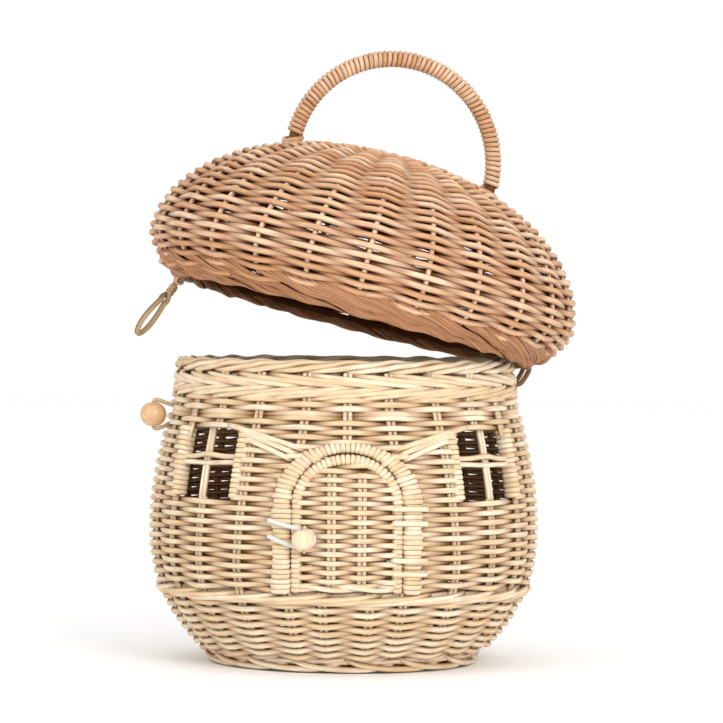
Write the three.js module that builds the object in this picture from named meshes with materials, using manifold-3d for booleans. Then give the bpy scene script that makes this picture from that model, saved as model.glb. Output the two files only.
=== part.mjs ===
// A lidded rattan basket in the shape of a mushroom house: a round pot with a little door and two windows,
// and a domed cap that is tied to the pot's rim at one side and carries the handle.
// Millimetres, +Z up. The origin is the centre of the flat underside and the door faces -Y.
// An azimuth is an angle round the basket, from the door towards +X.
import * as THREE from 'three';
import { mergeVertices } from 'three/addons/utils/BufferGeometryUtils.js';
import Module from 'manifold-3d';

const wasm = await Module();
wasm.setup();

// Shared by the whole basket
const FIT_GAP = 0.3;
const CUT_OVERRUN = 20;
const CANE_RADIUS = 1.45;
const ROUND_STEPS = 48;
const CANE_SIDES = 8;

// The pot's outline: a narrow foot, a belly and a straight neck
const POT_FOOT_RADIUS = 76;
const POT_BELLY_RADIUS = 113.4;
const POT_BELLY_HEIGHT = 78;
const POT_NECK_RADIUS = 100;
const POT_NECK_DROP = 18;
const POT_HEIGHT = 175;
const POT_WALL = 8;
const POT_FOOT_POWER = 2.4;
const POT_NECK_POWER = 1.2;
const WEAVE_DEPTH = 2.2;
const STAKES = 24;
const LOWER_WALL_ROWS = 4;
const MIDDLE_WALL_ROWS = 8;
const DOME_ROWS = 7;
const potNeckHeight = POT_HEIGHT - POT_NECK_DROP;

// The pot's bands: the lower ones are measured from the floor, the upper ones down from the top
const BASE_RADIUS = 70;
const BASE_THICKNESS = 6;
const FOOT_BORDER_HEIGHT = 6.5;
const SILL_BOTTOM = 39.5;
const SILL_TOP = 46;
const SILL_PROUD = 0.8;
const UPPER_BAND_HEIGHT = 10;
const RIM_BAND_HEIGHT = 20;
const RIM_CREST_RADIUS = 5.5;
const upperTop = POT_HEIGHT - RIM_BAND_HEIGHT;
const middleTop = upperTop - UPPER_BAND_HEIGHT;

// The door, its bound edge and the frame round it
const DOOR_HALF_WIDTH = 31.5;
const DOOR_RISE = 28;
const DOOR_TOP_DROP = 14.3;
const DOOR_GAP = 0.9;
const DOOR_SILL_GAP = 0.5;
const DOOR_INSET = 1;
const DOOR_BINDING_WIDTH = 5.5;
const FRAME_SIDE_WIDTH = 9.2;
const FRAME_TOP_WIDTH = 5.5;
const FRAME_PROUD = 0.8;
const frameOuterRise = DOOR_RISE + DOOR_GAP + FRAME_TOP_WIDTH;
const doorBottom = SILL_TOP + DOOR_SILL_GAP;
const doorSpring = middleTop - DOOR_TOP_DROP - frameOuterRise;

// The flat cane lashings that the door swings on
const LASHING_HEIGHT_SHARES = [0.23, 0.38, 0.79, 0.95];
const LASHING_WIDTH = 3;
const LASHING_THICKNESS = 1;
const LASHING_DOOR_REACH = 6.5;
const LASHING_FRAME_REACH = 12.6;

// The door's bead, the strand that holds it and the elastic loop that goes round it
const KNOB_RADIUS = 6.2;
const KNOB_AZIMUTH_DEG = -11.7;
const KNOB_HEIGHT_SHARE = 0.612;
const KNOB_TIE_RADIUS = 1;
const ELASTIC_RADIUS = 1.1;
const ELASTIC_REACH = 22.5;
const ELASTIC_UPPER_RISE = 10;
const ELASTIC_LOWER_RISE = 1;
const ELASTIC_LIFT = 3.1;
const knobHeight = doorBottom + KNOB_HEIGHT_SHARE * (doorSpring - doorBottom);

// The windows and their bars
const WINDOW_AZIMUTH_DEG = 47.5;
const WINDOW_WIDTH = 43;
const WINDOW_HEIGHT = 38.9;
const WINDOW_TOP_DROP = 7.8;
const UPRIGHT_AZIMUTH_DEG = 49.3;
const UPRIGHT_WIDTH = 5.5;
const CROSSBAR_HEIGHT_SHARE = 0.545;
const CROSSBAR_WIDTH = 6;
const BAR_THICKNESS = 2.9;
const BAR_INSET = 0.8;
const windowTop = middleTop - WINDOW_TOP_DROP;
const windowBottom = windowTop - WINDOW_HEIGHT;
const crossbarMiddle = windowBottom + CROSSBAR_HEIGHT_SHARE * WINDOW_HEIGHT;

// The bead on the pot that the lid's loop closes over
const LATCH_AZIMUTH_DEG = -80;
const LATCH_BEAD_RADIUS = 7.5;
const LATCH_BEAD_DROP = 33;
const LATCH_BEAD_GAP = 2.7;
const BEAD_BORE_GAP = 0.6;
const latchHeight = POT_HEIGHT - LATCH_BEAD_DROP;

// The lid hangs on loops of cane at one side, and stands a little open
const LIP_RADIUS = 4.5;
const LIP_SEAT_ANGLE_DEG = 29;
const LID_HINGE_AZIMUTH_DEG = 100;
const LID_PIVOT_OUTSET = 1.5;
const LID_PIVOT_DROP = 3.5;
const LID_OPEN_DEG = 14.3;
const LID_LOOP_SPREAD_DEG = 4;
const LID_LOOP_DROP = 10.5;
const LID_LOOP_ANGLE_DEG = -54;

// The cap: a tight lip, a curl out to the widest line, a dome and a flat crown
const CAP_OVERHANG = 23.8;
const CAP_WIDEST_HEIGHT = 24.4;
const CAP_HEIGHT = 101;
const CAP_WALL = 8;
const CROWN_RADIUS = 40;
const CAP_DOME_POWER = 2.07;
const CAP_CURL_POWER = 1.52;
const CURL_INSIDE_SHARE = 0.3;
const LIP_OUTER_ANGLE_DEG = -10;
const LIP_INNER_ANGLE_DEG = 60;

// The wrapped arch handle
const HANDLE_RADIUS = 60;
const HANDLE_FOOT_RISE = 3.5;
const HANDLE_CORE_RADIUS = 3.1;
const HANDLE_HOLE_GAP = 0.4;
const HANDLE_TAIL = 20;
const HANDLE_STEPS = 24;
const PEEL_RADIUS = 0.75;
const PEEL_GAP = 0.35;
const PEEL_PITCH = 2.55;
const PEEL_STEPS = 8;
const PEEL_SIDES = 5;
const COLLAR_RADIUS = 6.3;
const COLLAR_RISE = 4;

// The twisted loop that hangs from the lid's lip
const LOOP_ANCHOR_RADIUS = 2.6;
const LOOP_ANCHOR_LENGTH = 11;
const LOOP_LEAN_DEG = 23.7;
const LOOP_TWIST_DEG = 8;
const LOOP_NECK_LENGTH = 8.5;
const LOOP_LENGTH = 38.2;
const LOOP_EYE_HALF_WIDTH = 9.9;
const LOOP_STRAND_GAP = 0.4;
const WHIPPING_WALL = 0.9;
const WHIPPING_LENGTH = 6;

const PROBE_SHARE = 0.002;
const UP = new THREE.Vector3(0, 0, 1);
const radians = THREE.MathUtils.degToRad;

const PALE_CANE = new THREE.Color(0.8, 0.64, 0.39);
const TAN_CANE = new THREE.Color(0.62, 0.38, 0.22);
const DARK_CANE = new THREE.Color(0.42, 0.24, 0.12);
const BEAD_WOOD = new THREE.Color(0.85, 0.68, 0.45);
const LATCH_WOOD = new THREE.Color(0.78, 0.5, 0.26);
const ELASTIC_WHITE = new THREE.Color(0.9, 0.88, 0.83);

// Makes one named piece of the basket.
function piece(name, geometry, color, roughness) {
  const material = new THREE.MeshStandardMaterial({ color, roughness, metalness: 0 });
  const mesh = new THREE.Mesh(geometry, material);
  mesh.name = name;
  return mesh;
}

// Turns a closed geometry into a solid that can be cut, and back.
function toSolid(geometry) {
  const bare = geometry.clone();
  bare.deleteAttribute('normal');
  bare.deleteAttribute('uv');
  const merged = mergeVertices(bare);
  const corners = merged.index.array;
  const triangles = [];
  for (let i = 0; i < corners.length; i += 3) {
    const [a, b, c] = corners.slice(i, i + 3);
    if (a !== b && b !== c && c !== a) triangles.push(a, b, c);
  }
  return new wasm.Manifold(new wasm.Mesh({
    numProp: 3,
    vertProperties: new Float32Array(merged.attributes.position.array),
    triVerts: new Uint32Array(triangles),
  }));
}

function toGeometry(solid) {
  const mesh = solid.getMesh();
  const geometry = new THREE.BufferGeometry();
  geometry.setAttribute('position', new THREE.BufferAttribute(mesh.vertProperties, 3));
  geometry.setIndex(new THREE.BufferAttribute(mesh.triVerts, 1));
  return geometry;
}

function cutFrom(geometry, ...cutters) {
  return toGeometry(cutters.reduce((solid, cutter) => solid.subtract(toSolid(cutter)), toSolid(geometry)));
}

function shared(geometry, other) {
  return toGeometry(toSolid(geometry).intersect(toSolid(other)));
}

// Turns a closed outline of [radius, height] points round the vertical axis. Angles start at the door.
function turned(outline, steps = ROUND_STEPS) {
  const geometry = new THREE.LatheGeometry(outline.map(([r, z]) => new THREE.Vector2(r, z)), steps);
  return geometry.rotateX(Math.PI / 2);
}

// A line that is followed at exactly its own points, so a tube along it has one ring at each.
class PointPath extends THREE.Curve {
  constructor(points) {
    super();
    this.points = points;
  }
  getPoint(share) {
    const place = share * (this.points.length - 1);
    const before = Math.min(Math.floor(place), this.points.length - 2);
    return this.points[before].clone().lerp(this.points[before + 1], place - before);
  }
  getPointAt(share) {
    return this.getPoint(share);
  }
  getTangentAt(share) {
    const place = Math.round(share * (this.points.length - 1));
    const before = this.points[Math.max(place - 1, 0)];
    const after = this.points[Math.min(place + 1, this.points.length - 1)];
    return after.clone().sub(before).normalize();
  }
}

function tube(points, radius, sides = CANE_SIDES) {
  const section = new THREE.Shape();
  for (let i = 0; i < sides; i += 1) {
    const angle = 2 * Math.PI * i / sides;
    section[i ? 'lineTo' : 'moveTo'](radius * Math.cos(angle), radius * Math.sin(angle));
  }
  section.closePath();
  const steps = points.length - 1;
  const options = { steps, extrudePath: new PointPath(points), bevelEnabled: false };
  return new THREE.ExtrudeGeometry(section, options);
}

// Spreads the points of a tube evenly along the smooth line through a few chosen ones.
function smoothPoints(points, count) {
  return new THREE.CatmullRomCurve3(points, false, 'centripetal').getSpacedPoints(count);
}

// A point on an azimuth, at a distance from the axis and a height.
function around(azimuth, radius, height) {
  return new THREE.Vector3(radius * Math.sin(azimuth), -radius * Math.cos(azimuth), height);
}

// The pot's outer radius at a height.
function potRadius(z) {
  if (z <= POT_BELLY_HEIGHT) {
    const below = (POT_BELLY_HEIGHT - z) / POT_BELLY_HEIGHT;
    return POT_FOOT_RADIUS + (POT_BELLY_RADIUS - POT_FOOT_RADIUS) * (1 - below ** POT_FOOT_POWER);
  }
  const above = Math.min((z - POT_BELLY_HEIGHT) / (potNeckHeight - POT_BELLY_HEIGHT), 1);
  const swell = Math.cos(Math.PI / 2 * above) ** POT_NECK_POWER;
  return POT_NECK_RADIUS + (POT_BELLY_RADIUS - POT_NECK_RADIUS) * swell;
}

const potOutline = (share) => [potRadius(share * POT_HEIGHT), share * POT_HEIGHT];

// A point of an outline, moved out along the outline's normal. A share runs up the outline's outer side.
function movedOut(outline, share, distance) {
  const [r0, z0] = outline(Math.max(share - PROBE_SHARE, 0));
  const [r1, z1] = outline(Math.min(share + PROBE_SHARE, 1));
  const [r, z] = outline(share);
  const length = Math.hypot(r1 - r0, z1 - z0);
  return [r + distance * (z1 - z0) / length, z - distance * (r1 - r0) / length];
}

function movedOutRow(outline, from, to, steps, distance) {
  const shares = Array.from({ length: steps + 1 }, (_, i) => from + (to - from) * i / steps);
  return shares.map((share) => movedOut(outline, share, distance));
}

// The closed outline of one band of wall, with its two ends square to the wall.
function bandOutline(outline, from, to, steps, depth, proud = 0) {
  const outer = movedOutRow(outline, from, to, steps, proud);
  const inner = movedOutRow(outline, to, from, steps, proud - depth);
  const band = [...outer, ...inner];
  return [...band, band[0]];
}

function potBand(bottom, top, steps, depth = POT_WALL, proud = 0) {
  return turned(bandOutline(potOutline, bottom / POT_HEIGHT, top / POT_HEIGHT, steps, depth, proud));
}

// How far the weave steps in. In each row it is full at every second stake and deepest at the ones between,
// and the next row does the opposite. A band's first and last rows don't step in.
function weaveRecess(azimuth, row, rows) {
  if (row <= 0 || row >= rows) return 0;
  const stake = THREE.MathUtils.euclideanModulo(azimuth * STAKES / (2 * Math.PI) + row, 2);
  return WEAVE_DEPTH * (1 - Math.abs(stake - 1));
}

// A band whose outer side has the main relief of the weave.
function wovenBand(outline, from, to, rows, depth, proud = 0) {
  const band = bandOutline(outline, from, to, rows, depth, proud);
  const geometry = turned(band, 2 * STAKES);
  const corners = geometry.attributes.position;
  for (let i = 0; i < corners.count; i += 1) {
    const row = i % band.length;
    const azimuth = Math.PI * Math.floor(i / band.length) / STAKES;
    const recess = weaveRecess(azimuth, row, rows);
    const [r, z] = movedOut(outline, from + (to - from) * row / rows, proud - recess);
    if (recess > 0) corners.setXYZ(i, ...around(azimuth, r, z).toArray());
  }
  geometry.computeVertexNormals();
  return geometry;
}

// Part of a circle in an outline, from one angle to another.
function arcPoints(r, z, radius, from, to, steps) {
  return Array.from({ length: steps + 1 }, (_, i) => {
    const angle = from + (to - from) * i / steps;
    return [r + radius * Math.cos(angle), z + radius * Math.sin(angle)];
  });
}

// A bar that follows the wall round the basket between two azimuths.
function curvedBar(from, to, innerRadius, thickness, bottom, height, steps) {
  const outline = new THREE.Shape();
  const inner = arcPoints(0, 0, innerRadius, from - Math.PI / 2, to - Math.PI / 2, steps);
  const outer = arcPoints(0, 0, innerRadius + thickness, to - Math.PI / 2, from - Math.PI / 2, steps);
  [...outer, ...inner].forEach(([x, y], i) => outline[i ? 'lineTo' : 'moveTo'](x, y));
  outline.closePath();
  return new THREE.ExtrudeGeometry(outline, { depth: height, bevelEnabled: false }).translate(0, 0, bottom);
}

// The base, the scalloped foot and the bands of the wall
function makeBase() {
  const outline = [[0, 0], [BASE_RADIUS, 0], [BASE_RADIUS, BASE_THICKNESS], [0, BASE_THICKNESS]];
  return piece('base_disc', turned(outline), PALE_CANE, 0.6);
}

function makeFootBorder() {
  const top = FOOT_BORDER_HEIGHT / POT_HEIGHT;
  const inside = BASE_RADIUS + FIT_GAP;
  const outer = movedOutRow(potOutline, 0, top, 2, 0);
  const shelf = [movedOut(potOutline, top, -POT_WALL), [inside, BASE_THICKNESS], [inside, 0]];
  const outline = [[inside, 0], ...outer, ...shelf];
  return piece('foot_border', turned(outline), PALE_CANE, 0.6);
}

function makePotBands() {
  const [bottom, top] = [FOOT_BORDER_HEIGHT + FIT_GAP, SILL_BOTTOM - FIT_GAP];
  const lower = wovenBand(potOutline, bottom / POT_HEIGHT, top / POT_HEIGHT, LOWER_WALL_ROWS, POT_WALL);
  const sill = potBand(SILL_BOTTOM, SILL_TOP, 2, POT_WALL + SILL_PROUD, SILL_PROUD);
  return [
    piece('lower_wall', lower, PALE_CANE, 0.6),
    piece('sill_waling', sill, PALE_CANE, 0.6),
    piece('upper_wall', potBand(middleTop + FIT_GAP, upperTop, 2), PALE_CANE, 0.6),
  ];
}

const crestRadius = POT_NECK_RADIUS - RIM_CREST_RADIUS;
const crestHeight = POT_HEIGHT - RIM_CREST_RADIUS;

function makeRimBorder() {
  const bottom = (upperTop + FIT_GAP) / POT_HEIGHT;
  const crest = arcPoints(crestRadius, crestHeight, RIM_CREST_RADIUS, 0, Math.PI, 6);
  const outer = movedOut(potOutline, bottom, 0);
  const outline = [outer, ...crest, movedOut(potOutline, bottom, -POT_WALL), outer];
  return piece('rim_border', turned(outline), PALE_CANE, 0.6);
}

// The door opening: each outline is an arch with straight sides, cut through the front of the wall.
function archShape(halfWidth, bottom, rise) {
  const arch = new THREE.Shape();
  arch.moveTo(-halfWidth, bottom);
  arch.lineTo(halfWidth, bottom);
  arch.lineTo(halfWidth, doorSpring);
  arch.absellipse(0, doorSpring, halfWidth, rise, 0, Math.PI, false, 0);
  arch.closePath();
  return arch;
}

function archPrism(halfWidth, bottom, rise) {
  const near = POT_BELLY_RADIUS / 2;
  const depth = POT_BELLY_RADIUS + CUT_OVERRUN - near;
  const options = { depth, bevelEnabled: false, curveSegments: 12 };
  return new THREE.ExtrudeGeometry(archShape(halfWidth, bottom, rise), options)
    .translate(0, 0, near)
    .rotateX(Math.PI / 2);
}

const wallBottom = SILL_TOP + FIT_GAP;
const frameInnerHalf = DOOR_HALF_WIDTH + DOOR_GAP;
const frameInnerRise = DOOR_RISE + DOOR_GAP;
const frameOuterHalf = frameInnerHalf + FRAME_SIDE_WIDTH;
const cutBottom = wallBottom - CUT_OVERRUN;
const windowAzimuth = radians(WINDOW_AZIMUTH_DEG);

function windowPrism(side) {
  const depth = POT_BELLY_RADIUS / 2 + CUT_OVERRUN;
  return new THREE.BoxGeometry(WINDOW_WIDTH, depth, WINDOW_HEIGHT)
    .translate(0, CUT_OVERRUN - POT_BELLY_RADIUS, (windowTop + windowBottom) / 2)
    .rotateZ(side * windowAzimuth);
}

// How far the middle wall steps in at a height: between two rows the recess changes evenly.
function middleRecess(azimuth, z) {
  const place = (z - wallBottom) / (middleTop - wallBottom) * MIDDLE_WALL_ROWS;
  const row = Math.floor(place);
  const [below, above] = [row, row + 1].map((near) => weaveRecess(azimuth, near, MIDDLE_WALL_ROWS));
  return THREE.MathUtils.lerp(below, above, place - row);
}

function makeMiddleWall() {
  const opening = archPrism(frameOuterHalf + FIT_GAP, cutBottom, frameOuterRise + FIT_GAP);
  const [from, to] = [wallBottom / POT_HEIGHT, middleTop / POT_HEIGHT];
  const wall = wovenBand(potOutline, from, to, MIDDLE_WALL_ROWS, POT_WALL);
  return piece('middle_wall', cutFrom(wall, opening, windowPrism(-1), windowPrism(1)), PALE_CANE, 0.6);
}

function makeDoorFrame() {
  const wall = potBand(wallBottom, middleTop, MIDDLE_WALL_ROWS, POT_WALL + FRAME_PROUD, FRAME_PROUD);
  const outside = shared(wall, archPrism(frameOuterHalf, cutBottom, frameOuterRise));
  const frame = cutFrom(outside, archPrism(frameInnerHalf, cutBottom - CUT_OVERRUN, frameInnerRise));
  return piece('door_frame', frame, PALE_CANE, 0.55);
}

function makeDoor() {
  const wall = potBand(wallBottom, middleTop, MIDDLE_WALL_ROWS);
  const thin = potBand(wallBottom, middleTop, MIDDLE_WALL_ROWS, POT_WALL - 2 * DOOR_INSET, -DOOR_INSET);
  const panelHalf = DOOR_HALF_WIDTH - DOOR_BINDING_WIDTH;
  const panelRise = DOOR_RISE - DOOR_BINDING_WIDTH;
  const edge = shared(wall, archPrism(DOOR_HALF_WIDTH, doorBottom, DOOR_RISE));
  const binding = cutFrom(edge, archPrism(panelHalf, cutBottom, panelRise));
  const panel = shared(thin, archPrism(panelHalf - FIT_GAP, doorBottom, panelRise - FIT_GAP));
  return [
    piece('door_binding', binding, PALE_CANE, 0.55),
    piece('door_panel', panel, PALE_CANE, 0.6),
  ];
}

// Flat strips of cane over the crack on the door's hinge side
function makeLashings() {
  const hinge = DOOR_HALF_WIDTH + DOOR_GAP / 2;
  return LASHING_HEIGHT_SHARES.map((share, i) => {
    const middle = doorBottom + share * (doorSpring - doorBottom);
    const bottom = middle - LASHING_WIDTH / 2;
    const surface = Math.max(potRadius(bottom), potRadius(bottom + LASHING_WIDTH)) + FRAME_PROUD + FIT_GAP;
    const from = Math.asin((hinge - LASHING_DOOR_REACH) / surface);
    const to = Math.asin((hinge + LASHING_FRAME_REACH) / surface);
    const strip = curvedBar(from, to, surface, LASHING_THICKNESS, bottom, LASHING_WIDTH, 4);
    return piece(`door_lashing_${i + 1}`, strip, PALE_CANE, 0.5);
  });
}

// A turned bead with a bore along its own Z axis
function beadGeometry(radius, boreRadius) {
  const lowest = Math.asin(boreRadius / radius) - Math.PI / 2;
  const outer = arcPoints(0, 0, radius, lowest, -lowest, 9);
  return turned([...outer, outer[0]], 16);
}

// The strand through a bead's bore: both its ends go down to the surface that the bead sits on.
function beadTiePoints(beadRadius, beadHeight, tieRadius) {
  const reach = beadRadius + tieRadius + FIT_GAP;
  const bend = tieRadius + FIT_GAP;
  const half = [[0, beadHeight], [reach - bend, beadHeight], [reach, beadHeight - bend], [reach, FIT_GAP]];
  const left = half.slice(1).reverse().map(([along, rise]) => [-along, rise]);
  return [...left, ...half];
}

const knobAzimuth = radians(KNOB_AZIMUTH_DEG);
const doorSurface = potRadius(knobHeight) - DOOR_INSET;
const knobLift = KNOB_RADIUS + DOOR_INSET + FIT_GAP;

// A point beside the door's bead: along the door, above its surface and up.
function atKnob(along, rise, up) {
  const radius = doorSurface + rise;
  return around(knobAzimuth + along / POT_BELLY_RADIUS, radius, knobHeight + up);
}

function makeKnob() {
  const bore = KNOB_TIE_RADIUS + BEAD_BORE_GAP;
  const bead = piece('door_knob', beadGeometry(KNOB_RADIUS, bore), BEAD_WOOD, 0.35);
  bead.position.copy(atKnob(0, knobLift, 0));
  const places = beadTiePoints(KNOB_RADIUS, knobLift, KNOB_TIE_RADIUS);
  const route = places.map(([up, rise]) => atKnob(0, rise, up));
  return [bead, piece('door_knob_tie', tube(route, KNOB_TIE_RADIUS), PALE_CANE, 0.5)];
}

// The elastic starts on the wall beside the frame, passes the bead on its far side and comes back.
function makeElastic() {
  const lift = ELASTIC_RADIUS + FIT_GAP;
  const clear = KNOB_RADIUS - ELASTIC_RADIUS - 2 * FIT_GAP;
  const turn = clear * Math.SQRT1_2;
  const over = DOOR_INSET + FRAME_PROUD + lift;
  const wallLift = DOOR_INSET + FIT_GAP;
  const straight = wallLift + 2 * ELASTIC_RADIUS;
  const chosen = [
    atKnob(-ELASTIC_REACH + ELASTIC_LIFT, over + ELASTIC_LIFT / 2, ELASTIC_UPPER_RISE),
    atKnob(-ELASTIC_REACH / 2, over, clear + ELASTIC_RADIUS),
    atKnob(0, lift, clear),
    atKnob(turn, lift, turn),
    atKnob(clear, lift, 0),
    atKnob(turn, lift, -turn),
    atKnob(0, lift, -clear),
    atKnob(-ELASTIC_REACH / 2, over, -clear),
    atKnob(-ELASTIC_REACH + ELASTIC_LIFT, over + ELASTIC_LIFT / 2, ELASTIC_LOWER_RISE),
  ];
  const footAzimuth = knobAzimuth - ELASTIC_REACH / POT_BELLY_RADIUS;
  const leave = (up) => [
    atKnob(-ELASTIC_REACH, wallLift - middleRecess(footAzimuth, knobHeight + up), up),
    atKnob(-ELASTIC_REACH, straight, up),
  ];
  const route = [
    leave(ELASTIC_UPPER_RISE)[0],
    ...smoothPoints([leave(ELASTIC_UPPER_RISE)[1], ...chosen, leave(ELASTIC_LOWER_RISE)[1]], 22),
    leave(ELASTIC_LOWER_RISE)[0],
  ];
  return piece('elastic_loop', tube(route, ELASTIC_RADIUS), ELASTIC_WHITE, 0.7);
}

// Each window has a doubled stake standing behind a pair of weavers.
function makeWindowBars() {
  return [['left', -1], ['right', 1]].flatMap(([name, side]) => {
    const surface = potRadius(crossbarMiddle + CROSSBAR_WIDTH / 2);
    const lean = potRadius(crossbarMiddle - CROSSBAR_WIDTH / 2) - surface;
    const back = BAR_INSET + 2 * BAR_THICKNESS + lean + FIT_GAP;
    const heights = Array.from({ length: 5 }, (_, i) => (
      windowBottom + FIT_GAP + (WINDOW_HEIGHT - 2 * FIT_GAP) * i / 4
    ));
    const near = heights.map((z) => [potRadius(z) - back + BAR_THICKNESS, z]);
    const far = heights.reverse().map((z) => [potRadius(z) - back, z]);
    const outline = new THREE.Shape();
    [...near, ...far].forEach(([r, z], i) => outline[i ? 'lineTo' : 'moveTo'](r, z));
    outline.closePath();
    const upright = new THREE.ExtrudeGeometry(outline, { depth: UPRIGHT_WIDTH, bevelEnabled: false })
      .translate(0, 0, -UPRIGHT_WIDTH / 2)
      .rotateX(Math.PI / 2)
      .rotateZ(side * radians(UPRIGHT_AZIMUTH_DEG) - Math.PI / 2);
    const reach = Math.asin((WINDOW_WIDTH / 2 - FIT_GAP) / surface);
    const azimuth = side * windowAzimuth;
    const inner = surface - BAR_INSET - BAR_THICKNESS;
    const bottom = crossbarMiddle - CROSSBAR_WIDTH / 2;
    const bar = curvedBar(azimuth - reach, azimuth + reach, inner, BAR_THICKNESS, bottom, CROSSBAR_WIDTH, 4);
    return [
      piece(`window_${name}_upright`, upright, PALE_CANE, 0.5),
      piece(`window_${name}_crossbar`, bar, PALE_CANE, 0.5),
    ];
  });
}

const latchAzimuth = radians(LATCH_AZIMUTH_DEG);
const latchSurface = potRadius(latchHeight);
const latchLift = LATCH_BEAD_RADIUS + LATCH_BEAD_GAP;

function makeLatchBead() {
  const bore = CANE_RADIUS + BEAD_BORE_GAP;
  const bead = piece('latch_bead', beadGeometry(LATCH_BEAD_RADIUS, bore), LATCH_WOOD, 0.35);
  bead.position.copy(around(latchAzimuth, latchSurface + latchLift, latchHeight));
  const route = beadTiePoints(LATCH_BEAD_RADIUS, latchLift, CANE_RADIUS).map(([up, rise]) => {
    const height = latchHeight + up;
    const onWall = rise <= FIT_GAP;
    const foot = onWall ? potRadius(height) - middleRecess(latchAzimuth, height) : latchSurface;
    return around(latchAzimuth, foot + rise, height);
  });
  return [bead, piece('latch_bead_tie', tube(route, CANE_RADIUS), TAN_CANE, 0.5)];
}

// The closed lid's lip ring lies against the rim's crest, at an angle up and out from it.
const seatReach = RIM_CREST_RADIUS + LIP_RADIUS + FIT_GAP;
const lipRingRadius = crestRadius + seatReach * Math.cos(radians(LIP_SEAT_ANGLE_DEG));
const capRadius = lipRingRadius + CAP_OVERHANG;
const closedLipHeight = crestHeight + seatReach * Math.sin(radians(LIP_SEAT_ANGLE_DEG)) - LIP_RADIUS;
const hingeAzimuth = radians(LID_HINGE_AZIMUTH_DEG);
const hingeOut = around(hingeAzimuth, 1, 0);
const hingeAxis = new THREE.Vector3().crossVectors(UP, hingeOut);
const pivotRadius = lipRingRadius + LID_PIVOT_OUTSET;
const pivotHeight = closedLipHeight + LIP_RADIUS - LID_PIVOT_DROP;

// Where a point of the closed lid's section, over the hinge, lies when the lid stands open.
function openedAtHinge(radius, height) {
  const angle = radians(LID_OPEN_DEG);
  const [out, up] = [radius - pivotRadius, height + closedLipHeight - pivotHeight];
  return [
    pivotRadius + out * Math.cos(angle) + up * Math.sin(angle),
    pivotHeight - out * Math.sin(angle) + up * Math.cos(angle),
  ];
}

// Two strands tie the lip to the pot's rim outside, and one goes over the rim's crest inside.
function makeLidLoops() {
  const [lipOut, lipUp] = openedAtHinge(lipRingRadius, LIP_RADIUS);
  const meet = LIP_RADIUS + FIT_GAP;
  const clearOfLip = meet + CANE_RADIUS;
  const outerAngle = radians(LID_LOOP_ANGLE_DEG);
  const foot = pivotHeight - LID_LOOP_DROP;
  const outerRoute = [
    [lipOut + meet * Math.cos(outerAngle), lipUp + meet * Math.sin(outerAngle)],
    [lipOut + clearOfLip * Math.cos(outerAngle), lipUp + clearOfLip * Math.sin(outerAngle)],
    [POT_NECK_RADIUS + LID_LOOP_DROP / 2, foot + LID_LOOP_DROP / 3],
    [POT_NECK_RADIUS + 2 * CANE_RADIUS, foot + CANE_RADIUS / 3],
    [POT_NECK_RADIUS + FIT_GAP, foot],
  ];
  const outer = [['front', -1], ['back', 1]].map(([name, side]) => {
    const azimuth = hingeAzimuth + side * radians(LID_LOOP_SPREAD_DEG);
    const points = outerRoute.map(([r, z]) => around(azimuth, r, z));
    return piece(`lid_loop_${name}`, tube(smoothPoints(points, 9), CANE_RADIUS), TAN_CANE, 0.5);
  });
  const clear = RIM_CREST_RADIUS + CANE_RADIUS + FIT_GAP;
  const overCrest = arcPoints(crestRadius, crestHeight, clear, Math.PI, Math.PI / 3, 4);
  const lipSide = Math.atan2(overCrest.at(-1)[1] - lipUp, overCrest.at(-1)[0] - lipOut);
  const innerRoute = [
    [crestRadius - RIM_CREST_RADIUS - FIT_GAP, crestHeight - RIM_CREST_RADIUS - CANE_RADIUS],
    [crestRadius - clear, crestHeight - RIM_CREST_RADIUS],
    ...overCrest,
    [lipOut + meet * Math.cos(lipSide), lipUp + meet * Math.sin(lipSide)],
  ].map(([r, z]) => around(hingeAzimuth, r, z));
  return [...outer, piece('lid_loop_inner', tube(innerRoute, CANE_RADIUS), TAN_CANE, 0.5)];
}

// The cap's outline in two arcs: from the lip out to the widest line, and from there up to the crown.
const curlStart = [
  lipRingRadius + (LIP_RADIUS + FIT_GAP) * Math.cos(radians(LIP_OUTER_ANGLE_DEG)),
  LIP_RADIUS + (LIP_RADIUS + FIT_GAP) * Math.sin(radians(LIP_OUTER_ANGLE_DEG)),
];

function curlOutline(share) {
  const down = Math.cos(Math.PI / 2 * share);
  const out = (1 - down ** CAP_CURL_POWER) ** (1 / CAP_CURL_POWER);
  return [
    curlStart[0] + (capRadius - curlStart[0]) * out,
    CAP_WIDEST_HEIGHT - (CAP_WIDEST_HEIGHT - curlStart[1]) * down,
  ];
}

// The dome's height above the lip at a radius.
function domeHeight(radius) {
  const fall = Math.min(radius / capRadius, 1) ** CAP_DOME_POWER;
  return CAP_WIDEST_HEIGHT + (CAP_HEIGHT - CAP_WIDEST_HEIGHT) * Math.sqrt(1 - fall);
}

function domeOutline(share) {
  const radius = capRadius * Math.cos(Math.PI / 2 * share);
  return [radius, domeHeight(radius)];
}

const crownShare = Math.acos(CROWN_RADIUS / capRadius) * 2 / Math.PI;
const domeGapShare = 2 * FIT_GAP / (capRadius * Math.PI / 2);

function domeBand(depth, proud) {
  return wovenBand(domeOutline, domeGapShare, crownShare - domeGapShare / 2, DOME_ROWS, depth, proud);
}

function makeLip() {
  const ring = arcPoints(lipRingRadius, LIP_RADIUS, LIP_RADIUS, 0, 2 * Math.PI, 8);
  return piece('lip_border', turned(ring), DARK_CANE, 0.6);
}

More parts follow.
